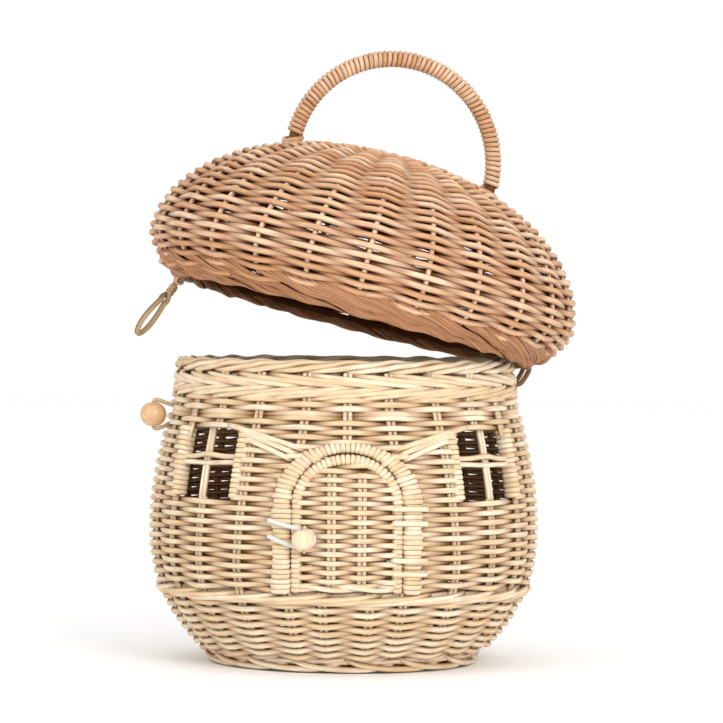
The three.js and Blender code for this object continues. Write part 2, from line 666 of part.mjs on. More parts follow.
function makeCurl() {
  const skin = movedOutRow(curlOutline, 0, 1, 5, 0);
  const inside = movedOutRow(curlOutline, 1, CURL_INSIDE_SHARE, 3, -CAP_WALL);
  const angles = [radians(LIP_INNER_ANGLE_DEG), radians(LIP_OUTER_ANGLE_DEG)];
  const nest = arcPoints(lipRingRadius, LIP_RADIUS, LIP_RADIUS + FIT_GAP, ...angles, 3);
  return piece('cap_curl', turned([...skin, ...inside, ...nest]), TAN_CANE, 0.6);
}

const footHeight = domeHeight(HANDLE_RADIUS);
const archHeight = footHeight + HANDLE_FOOT_RISE;
const insideHeight = footHeight - HANDLE_TAIL;

// A cylinder at one of the handle's feet, -1 for the latch side and 1 for the hinge side
function atFoot(side, radius, bottom, top, sides) {
  return new THREE.CylinderGeometry(radius, radius, top - bottom, sides)
    .rotateX(Math.PI / 2)
    .translate(side * HANDLE_RADIUS * hingeOut.x, side * HANDLE_RADIUS * hingeOut.y, (top + bottom) / 2);
}

const holeRadius = (HANDLE_CORE_RADIUS + HANDLE_HOLE_GAP) / Math.cos(Math.PI / 12);

function makeDome() {
  const holes = [-1, 1].map((side) => atFoot(side, holeRadius, insideHeight, archHeight + CUT_OVERRUN, 12));
  return piece('cap_dome', cutFrom(domeBand(CAP_WALL, 0), ...holes), TAN_CANE, 0.6);
}

function makeCrown() {
  const from = crownShare + domeGapShare / 2;
  const skin = movedOutRow(domeOutline, from, 1, 3, 0);
  const inside = movedOutRow(domeOutline, 1, from, 3, -CAP_WALL);
  skin.at(-1)[0] = 0;
  inside[0][0] = 0;
  return piece('cap_crown', turned([...inside, ...skin]), TAN_CANE, 0.6);
}

// A point near the handle's centre line: an angle along the arch from the latch side, then distances
// outwards and sideways.
function nearArch(angle, out, aside) {
  const across = -(HANDLE_RADIUS + out) * Math.cos(angle);
  const up = archHeight + (HANDLE_RADIUS + out) * Math.sin(angle);
  return hingeOut.clone().multiplyScalar(across).addScaledVector(hingeAxis, aside).setZ(up);
}

function makeHandleCore() {
  const angles = Array.from({ length: HANDLE_STEPS + 1 }, (_, i) => Math.PI * i / HANDLE_STEPS);
  const arch = angles.map((angle) => nearArch(angle, 0, 0));
  const points = [arch[0].clone().setZ(insideHeight), ...arch, arch.at(-1).clone().setZ(insideHeight)];
  return piece('handle_core', tube(points, HANDLE_CORE_RADIUS), TAN_CANE, 0.6);
}

// A ring of curled peel tails round each foot, resting on the dome
function makeCollars() {
  const top = footHeight + COLLAR_RISE;
  const bottom = footHeight - COLLAR_RISE;
  return [['left', -1], ['right', 1]].map(([name, side]) => {
    const ring = cutFrom(
      atFoot(side, COLLAR_RADIUS, bottom, top, 16),
      atFoot(side, holeRadius, bottom - CUT_OVERRUN, top + CUT_OVERRUN, 12),
      domeBand(CAP_WALL + CUT_OVERRUN, FIT_GAP),
    );
    return piece(`handle_collar_${name}`, ring, TAN_CANE, 0.5);
  });
}

// One strip of peel winds round the handle from collar to collar. Its ends stand square on the collars.
function wrappingPoints() {
  const radius = (HANDLE_CORE_RADIUS + PEEL_GAP + PEEL_RADIUS) / Math.cos(Math.PI / PEEL_STEPS);
  const collarTop = footHeight + COLLAR_RISE + FIT_GAP;
  const endRun = 2 * PEEL_RADIUS;
  const start = Math.asin((collarTop + 2 * endRun - archHeight) / (HANDLE_RADIUS + radius));
  const length = HANDLE_RADIUS * (Math.PI - 2 * start);
  const turns = Math.round(length / PEEL_PITCH);
  const steps = turns * PEEL_STEPS;
  const winding = Array.from({ length: steps - 1 }, (_, i) => {
    const angle = start + (Math.PI - 2 * start) * (i + 1) / steps;
    const round = 2 * Math.PI * (i + 1) / PEEL_STEPS;
    return nearArch(angle, radius * Math.cos(round), radius * Math.sin(round));
  });
  const ends = [start, Math.PI - start].map((angle) => nearArch(angle, radius, 0));
  const run = (end) => [end.clone().setZ(collarTop), end.clone().setZ(collarTop + endRun)];
  const points = [...run(ends[0]), ...winding, ...run(ends[1]).reverse()];
  return { points, turns };
}

// The least gap of a tube to itself, on its points and the middles between them.
function leastSelfGap(points, radius, apart) {
  const middle = (i) => points[i - 1].clone().lerp(points[i], 0.5);
  const dense = points.flatMap((point, i) => (i ? [middle(i), point] : [point]));
  let least = Infinity;
  for (let i = 0; i < dense.length; i += 1) {
    for (let j = i + 2 * apart; j < dense.length; j += 1) {
      least = Math.min(least, dense[i].distanceTo(dense[j]));
    }
  }
  return least - 2 * radius;
}

function makeHandleWrapping() {
  const { points, turns } = wrappingPoints();
  const gap = leastSelfGap(points, PEEL_RADIUS, PEEL_STEPS / 2 + 1);
  console.log(`handle wrapping: ${turns} turns, least gap to itself ${gap.toFixed(2)} mm`);
  return piece('handle_wrapping', tube(points, PEEL_RADIUS, PEEL_SIDES), TAN_CANE, 0.5);
}

// The latch side of the lip carries a wrapped knot that the loop swings on.
const latchOut = around(latchAzimuth, 1, 0);
const anchorHeight = -(LOOP_ANCHOR_RADIUS + FIT_GAP);
const latchAxis = new THREE.Vector3().crossVectors(UP, latchOut);

function makeLoopAnchor() {
  const knot = new THREE.CylinderGeometry(LOOP_ANCHOR_RADIUS, LOOP_ANCHOR_RADIUS, LOOP_ANCHOR_LENGTH, 12);
  const mesh = piece('loop_anchor', knot, TAN_CANE, 0.5);
  mesh.position.copy(around(latchAzimuth, lipRingRadius, anchorHeight));
  mesh.quaternion.setFromUnitVectors(new THREE.Vector3(0, 1, 0), latchAxis);
  return mesh;
}

// The loop in its own flat frame: X across, Y down its length, from one end round the eye to the other.
function loopPoints() {
  const neckHalf = CANE_RADIUS + LOOP_STRAND_GAP / 2;
  const eyeMiddle = LOOP_LENGTH - LOOP_EYE_HALF_WIDTH;
  const leg = Array.from({ length: 7 }, (_, i) => {
    const share = i / 6;
    const widening = THREE.MathUtils.smoothstep(share, 0, 1);
    const across = neckHalf + (LOOP_EYE_HALF_WIDTH - neckHalf) * widening;
    return [across, LOOP_NECK_LENGTH + (eyeMiddle - LOOP_NECK_LENGTH) * share];
  });
  const bottom = arcPoints(0, eyeMiddle, LOOP_EYE_HALF_WIDTH, 0, Math.PI, 8).slice(1, -1);
  const start = [neckHalf, LOOP_ANCHOR_RADIUS + FIT_GAP];
  const right = [start, ...leg];
  const left = right.map(([across, down]) => [-across, down]).reverse();
  return [...right, ...bottom, ...left].map(([across, down]) => new THREE.Vector3(across, down, 0));
}

function stadium(halfLength, radius) {
  const outline = new THREE.Path();
  outline.absarc(halfLength, 0, radius, -Math.PI / 2, Math.PI / 2, false);
  outline.absarc(-halfLength, 0, radius, Math.PI / 2, 3 * Math.PI / 2, false);
  outline.closePath();
  return outline;
}

function makeLatchLoop() {
  const strand = piece('latch_loop_strand', tube(loopPoints(), CANE_RADIUS), TAN_CANE, 0.5);
  const neckHalf = CANE_RADIUS + LOOP_STRAND_GAP / 2;
  const hole = CANE_RADIUS + FIT_GAP;
  const section = new THREE.Shape(stadium(neckHalf, hole + WHIPPING_WALL).getPoints(6));
  section.holes.push(stadium(neckHalf, hole));
  const options = { depth: WHIPPING_LENGTH, bevelEnabled: false, curveSegments: 6 };
  const start = LOOP_ANCHOR_RADIUS + 2 * FIT_GAP;
  const whipping = new THREE.ExtrudeGeometry(section, options).rotateX(-Math.PI / 2).translate(0, start, 0);
  const loop = new THREE.Group();
  loop.add(strand, piece('latch_loop_whipping', whipping, TAN_CANE, 0.5));
  const lean = radians(LOOP_LEAN_DEG);
  const down = latchOut.clone().multiplyScalar(Math.sin(lean)).addScaledVector(UP, -Math.cos(lean));
  const flat = new THREE.Vector3().crossVectors(latchAxis, down);
  loop.quaternion.setFromRotationMatrix(new THREE.Matrix4().makeBasis(latchAxis, down, flat));
  const lengthwise = new THREE.Vector3(0, 1, 0);
  const twist = new THREE.Quaternion().setFromAxisAngle(lengthwise, radians(LOOP_TWIST_DEG));
  loop.quaternion.multiply(twist);
  loop.position.copy(around(latchAzimuth, lipRingRadius, anchorHeight));
  return loop;
}

function makeLid() {
  const closed = new THREE.Group();
  closed.add(makeLip(), makeCurl(), makeDome(), makeCrown());
  closed.add(makeHandleCore(), makeHandleWrapping(), ...makeCollars());
  closed.add(makeLoopAnchor(), makeLatchLoop());
  const pivot = around(hingeAzimuth, pivotRadius, pivotHeight);
  closed.position.set(-pivot.x, -pivot.y, closedLipHeight - pivot.z);
  const lid = new THREE.Group();
  lid.add(closed);
  lid.position.copy(pivot);
  lid.quaternion.setFromAxisAngle(hingeAxis, radians(LID_OPEN_DEG));
  return lid;
}

const basket = new THREE.Group();
basket.add(makeBase(), makeFootBorder(), ...makePotBands(), makeMiddleWall(), makeRimBorder());
basket.add(makeDoorFrame(), ...makeDoor(), ...makeLashings(), ...makeKnob(), makeElastic());
basket.add(...makeWindowBars(), ...makeLatchBead(), ...makeLidLoops(), makeLid());

export default basket;
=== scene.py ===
# %% [markdown]
# # A lidded basket in the shape of a mushroom house
# Everything here is woven from round cane. A weave could be painted on a smooth shell with a bump map, but
# then its outline stays smooth and no light comes through the holes. Here each strand is a real tube, and
# each tube comes from a formula that is worked out for all its points at once.

# %% Load the solid model as the fixed frame
import bpy
import numpy as np
from mathutils import Matrix, Vector


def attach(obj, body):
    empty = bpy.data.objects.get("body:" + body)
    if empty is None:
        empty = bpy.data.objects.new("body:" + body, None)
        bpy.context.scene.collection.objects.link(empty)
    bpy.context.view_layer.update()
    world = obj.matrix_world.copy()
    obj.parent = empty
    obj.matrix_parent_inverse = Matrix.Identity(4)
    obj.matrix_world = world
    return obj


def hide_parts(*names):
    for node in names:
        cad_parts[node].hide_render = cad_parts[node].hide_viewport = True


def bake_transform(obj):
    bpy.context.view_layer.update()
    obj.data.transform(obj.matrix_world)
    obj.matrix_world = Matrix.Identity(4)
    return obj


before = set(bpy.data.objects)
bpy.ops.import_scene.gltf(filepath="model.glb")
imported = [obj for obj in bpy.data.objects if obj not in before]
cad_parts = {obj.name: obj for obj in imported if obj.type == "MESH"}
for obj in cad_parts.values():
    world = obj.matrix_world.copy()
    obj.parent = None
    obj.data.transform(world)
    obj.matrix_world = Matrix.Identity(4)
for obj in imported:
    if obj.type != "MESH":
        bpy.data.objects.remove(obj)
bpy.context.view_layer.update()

# %% [markdown]
# ## Measures
# Lengths are in millimetres, as on a maker's drawing, and become metres when a mesh is made. Azimuths are
# degrees round the basket from the door towards +X. They repeat the solid model's own values. All chance
# comes from one generator with a fixed seed, so the basket is the same in every run.

# %% Measures of the pot
MM = 0.001
MM_IN_CM = 10
UP = np.array([0, 0, 1])
RNG = np.random.default_rng(24)
POT_FOOT_RADIUS, POT_BELLY_RADIUS, POT_NECK_RADIUS = 76, 113.4, 100
POT_BELLY_HEIGHT, POT_NECK_HEIGHT, POT_HEIGHT = 78, 157, 175
POT_FOOT_POWER, POT_NECK_POWER = 2.4, 1.2
POT_WALL = 8
STAKES = 24
STEP = 360 / STAKES
print("pot:", 2 * POT_BELLY_RADIUS, "mm across and", POT_HEIGHT, "mm high, a stake every", STEP, "degrees")

# %% [markdown]
# ## Outlines
# A round basket is one outline turned round an axis. The weave follows the outline by its length, not by its
# height, so rows stay evenly spaced where the wall curves inwards. Each outline is a table of length, radius,
# height and the outward direction.

# %% Outlines and points on a wall
def outline_of(radius, height):
    """Length is the running sum of the steps. The outward direction is the unit tangent turned by -90
    degrees."""
    steps = np.hypot(np.diff(radius), np.diff(height))
    length = np.concatenate([[0], np.cumsum(steps)])
    out, up = np.gradient(radius, length), np.gradient(height, length)
    size = np.hypot(out, up)
    return np.array([length, radius, height, up / size, -out / size])


def around(azimuth, r, z):
    """A point by azimuth in degrees, radius and height: (r sin a, -r cos a, z)."""
    azimuth, r, z = np.broadcast_arrays(np.radians(azimuth), r, z)
    return np.stack([r * np.sin(azimuth), -r * np.cos(azimuth), z], -1)


def on_wall(outline, length, azimuth, proud):
    """The point at a length up the outline, turned to the azimuth and moved out by proud, and its outward
    direction."""
    length, azimuth, proud = np.broadcast_arrays(length, azimuth, proud)
    r, z, out_r, out_z = (np.interp(length, outline[0], row) for row in outline[1:])
    out = around(azimuth, out_r, out_z)
    return around(azimuth, r, z) + proud[..., None] * out, out


# %% The pot's own outline
def pot_radius(z):
    """Below the belly the radius falls off as a power of the drop; above it as a power of a cosine."""
    below = np.clip((POT_BELLY_HEIGHT - z) / POT_BELLY_HEIGHT, 0, 1)
    above = np.clip((z - POT_BELLY_HEIGHT) / (POT_NECK_HEIGHT - POT_BELLY_HEIGHT), 0, 1)
    foot = POT_FOOT_RADIUS + (POT_BELLY_RADIUS - POT_FOOT_RADIUS) * (1 - below ** POT_FOOT_POWER)
    swell = np.cos(np.pi / 2 * above) ** POT_NECK_POWER
    neck = POT_NECK_RADIUS + (POT_BELLY_RADIUS - POT_NECK_RADIUS) * swell
    return np.where(z < POT_BELLY_HEIGHT, foot, neck)


pot_heights = np.linspace(0, POT_HEIGHT, 701)
POT = outline_of(pot_radius(pot_heights), pot_heights)


def pot_length(z):
    """The length up the pot's outline at a height."""
    return np.interp(z, POT[2], POT[0])


def pot_height(length):
    """The height at a length up the pot's outline."""
    return np.interp(length, POT[0], POT[2])


def pot_at(x, z, proud):
    """The point of the pot's front with that x and height."""
    azimuth = np.degrees(np.arcsin(np.clip(x / pot_radius(z), -1, 1)))
    return on_wall(POT, pot_length(z), azimuth, proud)


print("pot outline:", round(POT[0, -1], 1), "mm long")

# %% [markdown]
# ## Strands
# A strand is a section carried along a path. At each point the section stands square to the path, and one of
# its two axes faces out of the wall, so a flat strand lies flat. A grid of points becomes four-sided faces
# by numbering alone, and each mesh also keeps two numbers per point: tone, which differs from strand
# to strand as cane does, and relief, which is low where a strand dives behind another. The finish paints
# shade where relief is low.

# %% Grids of points as faces
def unit(vectors):
    """Each vector divided by its own length."""
    return vectors / np.linalg.norm(vectors, axis=-1, keepdims=True)


def grid(points, tone, relief, loop_long=False, length_cm=None, first_share=0.0):
    """Faces for n grids of k rows of m points: each joins (i, j), (i, j+1), (i+1, j+1), (i+1, j). Every row
    is closed. Where the rows don't close into a loop as well, the first and the last get an end face. Where
    no lengths are given, the UV map counts half a centimetre for a row."""
    n, k, m, _ = points.shape
    rows = k if loop_long else k - 1
    sheet, i, j = np.meshgrid(np.arange(n), np.arange(rows), np.arange(m), indexing="ij")

    def corner(row, column):
        """The number of the point in that row and column, in every grid at once."""
        return sheet * k * m + (row % k) * m + column % m

    def per_point(value):
        """A value for each row, repeated for the points of the row."""
        return np.broadcast_to(np.broadcast_to(value, (n, k))[..., None], (n, k, m)).ravel()

    quads = np.stack([corner(i, j), corner(i, j + 1), corner(i + 1, j + 1), corner(i + 1, j)], -1)
    if length_cm is None:
        length_cm = np.broadcast_to(np.arange(k + 1) / 2, (n, k + 1))
    along = np.stack([length_cm[sheet, i], length_cm[sheet, i + 1]], -1)[..., [0, 0, 1, 1]]
    across = np.stack([j, j + 1, j + 1, j], -1) / m + first_share
    uv = np.stack([along, across], -1)
    ends = np.zeros((0, m), int)
    if not loop_long:
        first = np.arange(n)[:, None] * k * m + np.arange(m)
        ends = np.concatenate([first[:, ::-1], first + (k - 1) * m])
    return {"points": points.reshape(-1, 3), "quads": quads.reshape(-1, 4), "uv": uv.reshape(-1, 2),
            "ends": ends, "tone": per_point(tone), "relief": per_point(relief)}


# %% Sections along paths
LONGEST_CANE_CM = 90


def swept(paths, facing, half_width, half_depth=None, sides=8, loop=False, tone=0.5, relief=1.0,
          first_share=0.0):
    """Each section point is centre + width cos(a) side + depth sin(a) out, with side = facing x tangent and
    out = tangent x side. The share of a turn goes into the UV map, and a quarter is the outside. One path may
    come alone, and one facing may serve all points. Each strand's pattern starts at its own random length."""
    paths = paths.reshape(-1, *paths.shape[-2:])
    n, k, _ = paths.shape
    half_depth = half_width if half_depth is None else half_depth
    if loop:
        tangent = unit(np.roll(paths, -1, 1) - np.roll(paths, 1, 1))
    else:
        tangent = unit(np.gradient(paths, axis=1))
    side = unit(np.cross(facing, tangent))
    out = np.cross(tangent, side)
    angle = np.arange(sides) * 2 * np.pi / sides
    width = np.broadcast_to(half_width, (n, k))[..., None, None] * np.cos(angle)[:, None]
    depth = np.broadcast_to(half_depth, (n, k))[..., None, None] * np.sin(angle)[:, None]
    points = paths[..., None, :] + width * side[..., None, :] + depth * out[..., None, :]
    steps = np.linalg.norm(np.diff(paths, axis=1, append=paths[:, :1]), axis=-1)
    length = np.concatenate([np.zeros((n, 1)), np.cumsum(steps, 1)], 1) / MM_IN_CM
    length = length + RNG.uniform(0, LONGEST_CANE_CM, (n, 1))
    return grid(points, tone, relief, loop_long=loop, length_cm=length, first_share=first_share)


def lathed(profile, centre, tone, sides=40):
    """A closed profile of (radius, height) points, downwards on its outer side, turned round a vertical
    axis."""
    angle = np.arange(sides) * 2 * np.pi / sides
    r, z = np.array(profile).T
    points = np.stack([np.outer(np.cos(angle), r), np.outer(np.sin(angle), r), np.tile(z, (sides, 1))], -1)
    return grid(points[None] + np.array(centre), tone, 1.0, loop_long=True)


# %% [markdown]
# ## From arrays to a mesh
# Numpy arrays go into a Blender mesh in a few calls of foreach_set, which is far faster than adding faces one
# at a time. Each piece then stands for the nodes that it replaces, and rides on a body of the solid model
# unless it is fixed in world space.

# %% Make a mesh and place it
def mesh_of(name, bundles, material):
    """Joins grids into one mesh: the corner numbers of each grid are moved on by the points before it. The
    strands are shaded smooth and their ends flat."""
    mesh = bpy.data.meshes.new(name)
    starts = np.cumsum([0] + [len(b["points"]) for b in bundles])[:-1]
    points = np.concatenate([b["points"] for b in bundles]) * MM
    quads = np.concatenate([b["quads"] + s for b, s in zip(bundles, starts)])
    ends = [b["ends"] + s for b, s in zip(bundles, starts) if len(b["ends"])]
    corners = np.concatenate([quads.ravel()] + [e.ravel() for e in ends])
    sizes = np.concatenate([np.full(len(quads), 4)] + [np.full(len(e), e.shape[1]) for e in ends])
    mesh.vertices.add(len(points))
    mesh.vertices.foreach_set("co", points.astype(np.float32).ravel())
    mesh.loops.add(len(corners))
    mesh.loops.foreach_set("vertex_index", corners.astype(np.int32))
    mesh.polygons.add(len(sizes))
    mesh.polygons.foreach_set("loop_start", (np.cumsum(sizes) - sizes).astype(np.int32))
    mesh.polygons.foreach_set("use_smooth", np.arange(len(sizes)) < len(quads))
    uv = np.zeros((len(corners), 2), np.float32)
    uv[: quads.size] = np.concatenate([b["uv"] for b in bundles])
    mesh.uv_layers.new(name="along_cane").data.foreach_set("uv", uv.ravel())
    for key in ("tone", "relief"):
        values = np.concatenate([b[key] for b in bundles]).astype(np.float32)
        mesh.attributes.new(key, "FLOAT", "POINT").data.foreach_set("value", values)
    mesh.update(calc_edges=True)
    mesh.validate()
    mesh.materials.append(material)
    return mesh


def place(name, bundles, look, body, replaces=(), blend=None):
    """Makes the object. A look is a material and its slot; the slot is not used. The object rides on its
    body. Where blend is given, its points are set in world space instead, and body and the names and places
    in blend are not used."""
    material, slot = look
    thing = bpy.data.objects.new(name, mesh_of(name, bundles, material))
    bpy.context.scene.collection.objects.link(thing)
    if blend is None:
        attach(thing, body)
    else:
        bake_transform(thing)
    if replaces:
        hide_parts(*replaces)
    print(f"{name}: {sum(len(b['quads']) + len(b['ends']) for b in bundles)} faces")


# %% [markdown]
# ## Cane
# Split and peeled cane is cream to pinkish tan. Each strand has its own tone, fine streaks run along it, and
# a few brown marks show where leaves grew. The streaks are a noise that is stretched along the strand by its
# own UV map, so they follow every bend. Shade is painted too: where a strand dives behind another, and on the
# side of each strand that faces away from the outside.

# %% Nodes of a finish
def fill(socket, value):
    """Links an output to the socket, or sets the socket's own value."""
    if isinstance(value, bpy.types.NodeSocket):
        socket.id_data.links.new(value, socket)
    else:
        socket.default_value = value


def finish(name, roughness, sheen=0.0, specular=0.5):
    """A new material, its shader, and a function that adds a node."""
    material = bpy.data.materials.new(name)
    material.use_nodes = True
    nodes = material.node_tree.nodes
    shader = nodes["Principled BSDF"]
    shader.inputs["Roughness"].default_value = roughness
    shader.inputs["Sheen Weight"].default_value = sheen
    shader.inputs["Specular IOR Level"].default_value = specular

    def node(kind, inputs=(), **settings):
        """A node of a kind, with its settings made and its inputs filled."""
        made = nodes.new(kind)
        for key, value in settings.items():
            setattr(made, key, value)
        for socket, value in dict(inputs).items():
            fill(made.inputs[socket], value)
        return made

    return material, shader, node


def mixed(node, share, first, second):
    """Colour between two others by a share. A mix node's colour sockets are found by number: 6, 7 and 2."""
    return node("ShaderNodeMix", {0: share, 6: first, 7: second}, data_type="RGBA").outputs[2]


def ranged(node, value, low, high, top=1.0):
    """Maps the range from low to high to the one from 0 to top, held at both ends."""
    inputs = {"Value": value, "From Min": low, "From Max": high, "To Max": top}
    return node("ShaderNodeMapRange", inputs).outputs["Result"]


def noise(node, where, scale, detail, stretch=None):
    """A noise texture. With stretch it is finer along one axis than along another."""
    if stretch:
        where = node("ShaderNodeMapping", {"Vector": where, "Scale": stretch}).outputs["Vector"]
    return node("ShaderNodeTexNoise", {"Vector": where, "Scale": scale, "Detail": detail}).outputs["Fac"]


# %% The cane finish
def cane_finish(name, pale, deep, blush, shade, inside=0.0, sunk=0.88, gap=0.13):
    """Tone mixes pale and deep. Then come layers, each with the share that a value gives: blush and deep in
    slow patches, and shade in streaks and in leaf marks, as the cane has them. Then comes painted shade: in
    low relief by up to sunk, where a strand dives behind another, and on the hidden side of a strand, where
    shade falls between strands. That side is found from the share of a turn round the strand: away is 0
    outside and
    0.5 inside, and the painted shade starts at gap. What faces into the basket gets some of the deep colour
    back, by inside, which lessens the painted shade there."""
    material, shader, node = finish(name, 0.5, specular=0.05)
    tone, relief = (node("ShaderNodeAttribute", attribute_name=key).outputs["Fac"]
                    for key in ("tone", "relief"))
    uv = node("ShaderNodeUVMap", uv_map="along_cane").outputs["UV"]
    cloud = noise(node, node("ShaderNodeTexCoord").outputs["Object"], 38, 2)
    streak = noise(node, uv, 1.6, 3, (0.5, 9, 1))
    patch = noise(node, uv, 1.3, 2, (0.45, 1.2, 1))
    mark = noise(node, uv, 2.1, 1, (0.8, 1.6, 1))
    away = node("ShaderNodeSeparateXYZ", {"Vector": uv}).outputs["Y"]
    for operation, amount in (("ADD", 0.25), ("FRACT", 0), ("SUBTRACT", 0.5), ("ABSOLUTE", 0)):
        away = node("ShaderNodeMath", {0: away, 1: amount}, operation=operation).outputs["Value"]
    # Each layer: its value, where it starts and is full, its share when full, and its colour.
    layers = [(patch, 0.5, 0.72, 0.75, blush),
              (cloud, 0.45, 0.75, 0.4, deep),
              (streak, 0.46, 0.72, 0.42, shade),
              (mark, 0.76, 0.82, 0.7, shade),
              # Painted shade: in low relief, then on the hidden side of a strand; the last layer lessens it
              # on faces into the basket.
              (relief, 0.8, 0.0, sunk, shade),
              (away, gap, 0.36, 0.9, shade),
              (away, 0.38, 0.46, inside, deep)]
    colour = mixed(node, tone, pale, deep)
    for value, start, full, full_share, layer in layers:
        colour = mixed(node, ranged(node, value, start, full, full_share), colour, layer)
    fill(shader.inputs["Base Color"], colour)
    bump = node("ShaderNodeBump", {"Height": streak, "Strength": 0.25, "Distance": 0.0004})
    fill(shader.inputs["Normal"], bump.outputs["Normal"])
    return material


# Pale and tan cane take stronger painted shade: sunk in low relief, gap on the hidden side. inside lessens
# the painted shade on the pale cane's faces into the basket.
PALE = (cane_finish("pale_cane_strands", (0.83, 0.725, 0.55, 1), (0.70, 0.53, 0.32, 1),
                    (0.72, 0.48, 0.32, 1), (0.235, 0.083, 0.012, 1), inside=0.5, sunk=0.95, gap=0.115),
        "pale_cane")
TAN = (cane_finish("tan_cane_strands", (0.81, 0.59, 0.40, 1), (0.545, 0.285, 0.14, 1),
                   (0.63, 0.33, 0.20, 1), (0.11, 0.02, 0.002, 1), sunk=0.97, gap=0.09),
       "tan_cane")
DARK = (cane_finish("dark_cane_strands", (0.55, 0.30, 0.165, 1), (0.38, 0.175, 0.08, 1),
                    (0.46, 0.22, 0.12, 1), (0.075, 0.018, 0.003, 1)),
        "dark_cane")
# A darker, duller copy of the tan cane, in the tan cane's slot, for the lid's loops and the latch's strands.
DARKER_TAN = (cane_finish("darker_tan_cane_strands", (0.58, 0.43, 0.25, 1), (0.47, 0.32, 0.17, 1),
                    (0.46, 0.30, 0.16, 1), (0.17, 0.09, 0.04, 1)),
        "tan_cane")
print("cane finishes:", [material.name for material, slot in (PALE, TAN, DARK, DARKER_TAN)])

# %% [markdown]
# ## The plain weave
# Each weaver passes outside one stake and inside the next, and the row above does the opposite. That is a
# wave with one crest for each pair of stakes, and its sign changes from row to row. The stakes of a handmade
# basket aren't quite evenly spaced, so the wave is read from each stake's real place.

# %% Waves, wander and tones
THIRD_WAVE = 0.09
stake_numbers = np.arange(-STAKES, 2 * STAKES + 1)


def stake_places(spread):
    """Azimuths of the stakes with a small hand-made error, repeated for two turns more."""
    shift = RNG.uniform(-spread, spread, STAKES)
    return stake_numbers * STEP + shift[stake_numbers % STAKES]


def over_under(count):
    """A cosine of the count of stakes passed, with a little of its third harmonic: straight between stakes,
    and a quick turn round each."""
    return (np.cos(np.pi * count) + THIRD_WAVE * np.cos(3 * np.pi * count)) / (1 + THIRD_WAVE)


def side_of(row):
    """The side that a row takes at its first stake: not the one of the row before."""
    return 1 if row % 2 else -1


def slow_waves(azimuth, size):
    """A sum of a few waves round the basket with random places: how a hand-laid row wanders."""
    turns, starts = np.array([3, 5, 9, 13]), RNG.uniform(0, 2 * np.pi, 4)
    waves = np.sin(np.radians(azimuth)[:, None] * turns + starts) / np.sqrt(turns)
    return size * waves.sum(1)


def strand_tones(count, stretch=7):
    """One random tone for each length of cane; a new length starts behind a stake."""
    number = np.floor((count + RNG.uniform(0, stretch)) / stretch).astype(int)
    return RNG.uniform(0, 1, number.max() - number.min() + 1)[number - number.min()]


# %% Weavers
SWING, WEAVER_RADIUS = 2.55, 1.5
POINTS_PER_STEP = 8


def woven(outline, length, azimuth, lift, count, wave, radius):
    """The strand of a row, a little wider where it shows. Its relief is 1 outside a stake and 0 behind one,
    where the finish paints shade.
    """
    path, out = on_wall(outline, length, azimuth, lift)
    half_width = radius * (1.02 + 0.08 * wave)
    return swept(path, out, half_width, radius, tone=strand_tones(count), relief=(wave + 1) / 2)


def weaver(outline, length, start, stop, flip, places, middle, radius=WEAVER_RADIUS, swing=SWING,
           wander=0.22):
    """One weaver from one azimuth to another. Its depth is middle + swing times the wave."""
    azimuth = np.linspace(start, stop, max(int((stop - start) / STEP * POINTS_PER_STEP), 5))
    count = np.interp(azimuth, places, stake_numbers)
    wave = flip * over_under(count)
    lift = middle + swing * wave + slow_waves(azimuth, wander / 2)
    return woven(outline, length + slow_waves(azimuth, wander), azimuth, lift, count, wave, radius)


def ring_of_weave(outline, length, row, places, middle, **sizes):
    """A full turn. Its two ends lie behind the same stake."""
    flip = side_of(row)
    first = (2 * RNG.integers(0, STAKES // 2) + (1 if flip > 0 else 0)) * STEP - 180
    return weaver(outline, length, first, first + 360 + STEP / 4, flip, places, middle, **sizes)


# %% Stakes
ROD_STEP = 3


def stakes(outline, low, high, azimuths, middle, apart, radius=1.35, darkest=0.8, lean=None):
    """Upright rods at the azimuths, one or two beside each other, from one length to another."""
    length = np.linspace(low, high, max(int((high - low) / ROD_STEP), 2))
    beside = np.array([-apart / 2, apart / 2]) if apart else np.array([0.0])
    azimuth = np.asarray(azimuths)[:, None, None] + np.zeros((1, len(beside), len(length)))
    azimuth = azimuth if lean is None else lean(azimuth, length)
    radius_here = np.interp(length, outline[0], outline[1])
    azimuth = azimuth + np.degrees(beside[:, None] / radius_here)
    path, out = on_wall(outline, length, azimuth.reshape(-1, len(length)), middle)
    tone = RNG.uniform(0, darkest, (len(path), 1))
    return swept(path, out, radius, sides=6, tone=tone, relief=1 - darkest / 4)


POT_MIDDLE = -POT_WALL / 2
ROW_PITCH = 2.7
LEAN, LEAN_TOP, LEAN_BOTTOM = 4.8, 150, 60
BESIDE_DOOR_SHIFT = 1.5
pot_stakes = stake_places(0.45)
pot_stakes[stake_numbers % STAKES == 1] -= BESIDE_DOOR_SHIFT
pot_stakes[stake_numbers % STAKES == STAKES - 1] += BESIDE_DOOR_SHIFT


def leaned(azimuth, length):
    """The stakes lean away from the door as they go down: by a few degrees beside it and not at all at the
    back. The tanh keeps the one over the door upright."""
    away = (azimuth + 180) % 360 - 180
    down = np.clip((LEAN_TOP - pot_height(length)) / (LEAN_TOP - LEAN_BOTTOM), 0, 1)
    return azimuth + LEAN * down * np.tanh(away / 6) * (1 - np.abs(away) / 180) ** 0.6


def places_of(numbers):
    """Azimuths of the numbered stakes of the pot."""
    return np.interp(list(numbers), stake_numbers, pot_stakes)


def pot_rods(low, high, azimuths=None, lean=leaned):
    """The pot's pairs of rods between two heights: all of them, or those at the azimuths."""
    azimuths = places_of(range(STAKES)) if azimuths is None else azimuths
    return stakes(POT, pot_length(low), pot_length(high), azimuths, POT_MIDDLE, 2.9, lean=lean)


# %% [markdown]
# ## The pot's lower wall
# Below the door one weaver climbs round and round. The stake over the door becomes two below it, so there
# are 25, and over an odd number of stakes a weaver alternates by itself in every turn. The wall slopes
# outwards there, so each strand that swings out also hangs a little lower, which gives the rows their
# scalloped look.

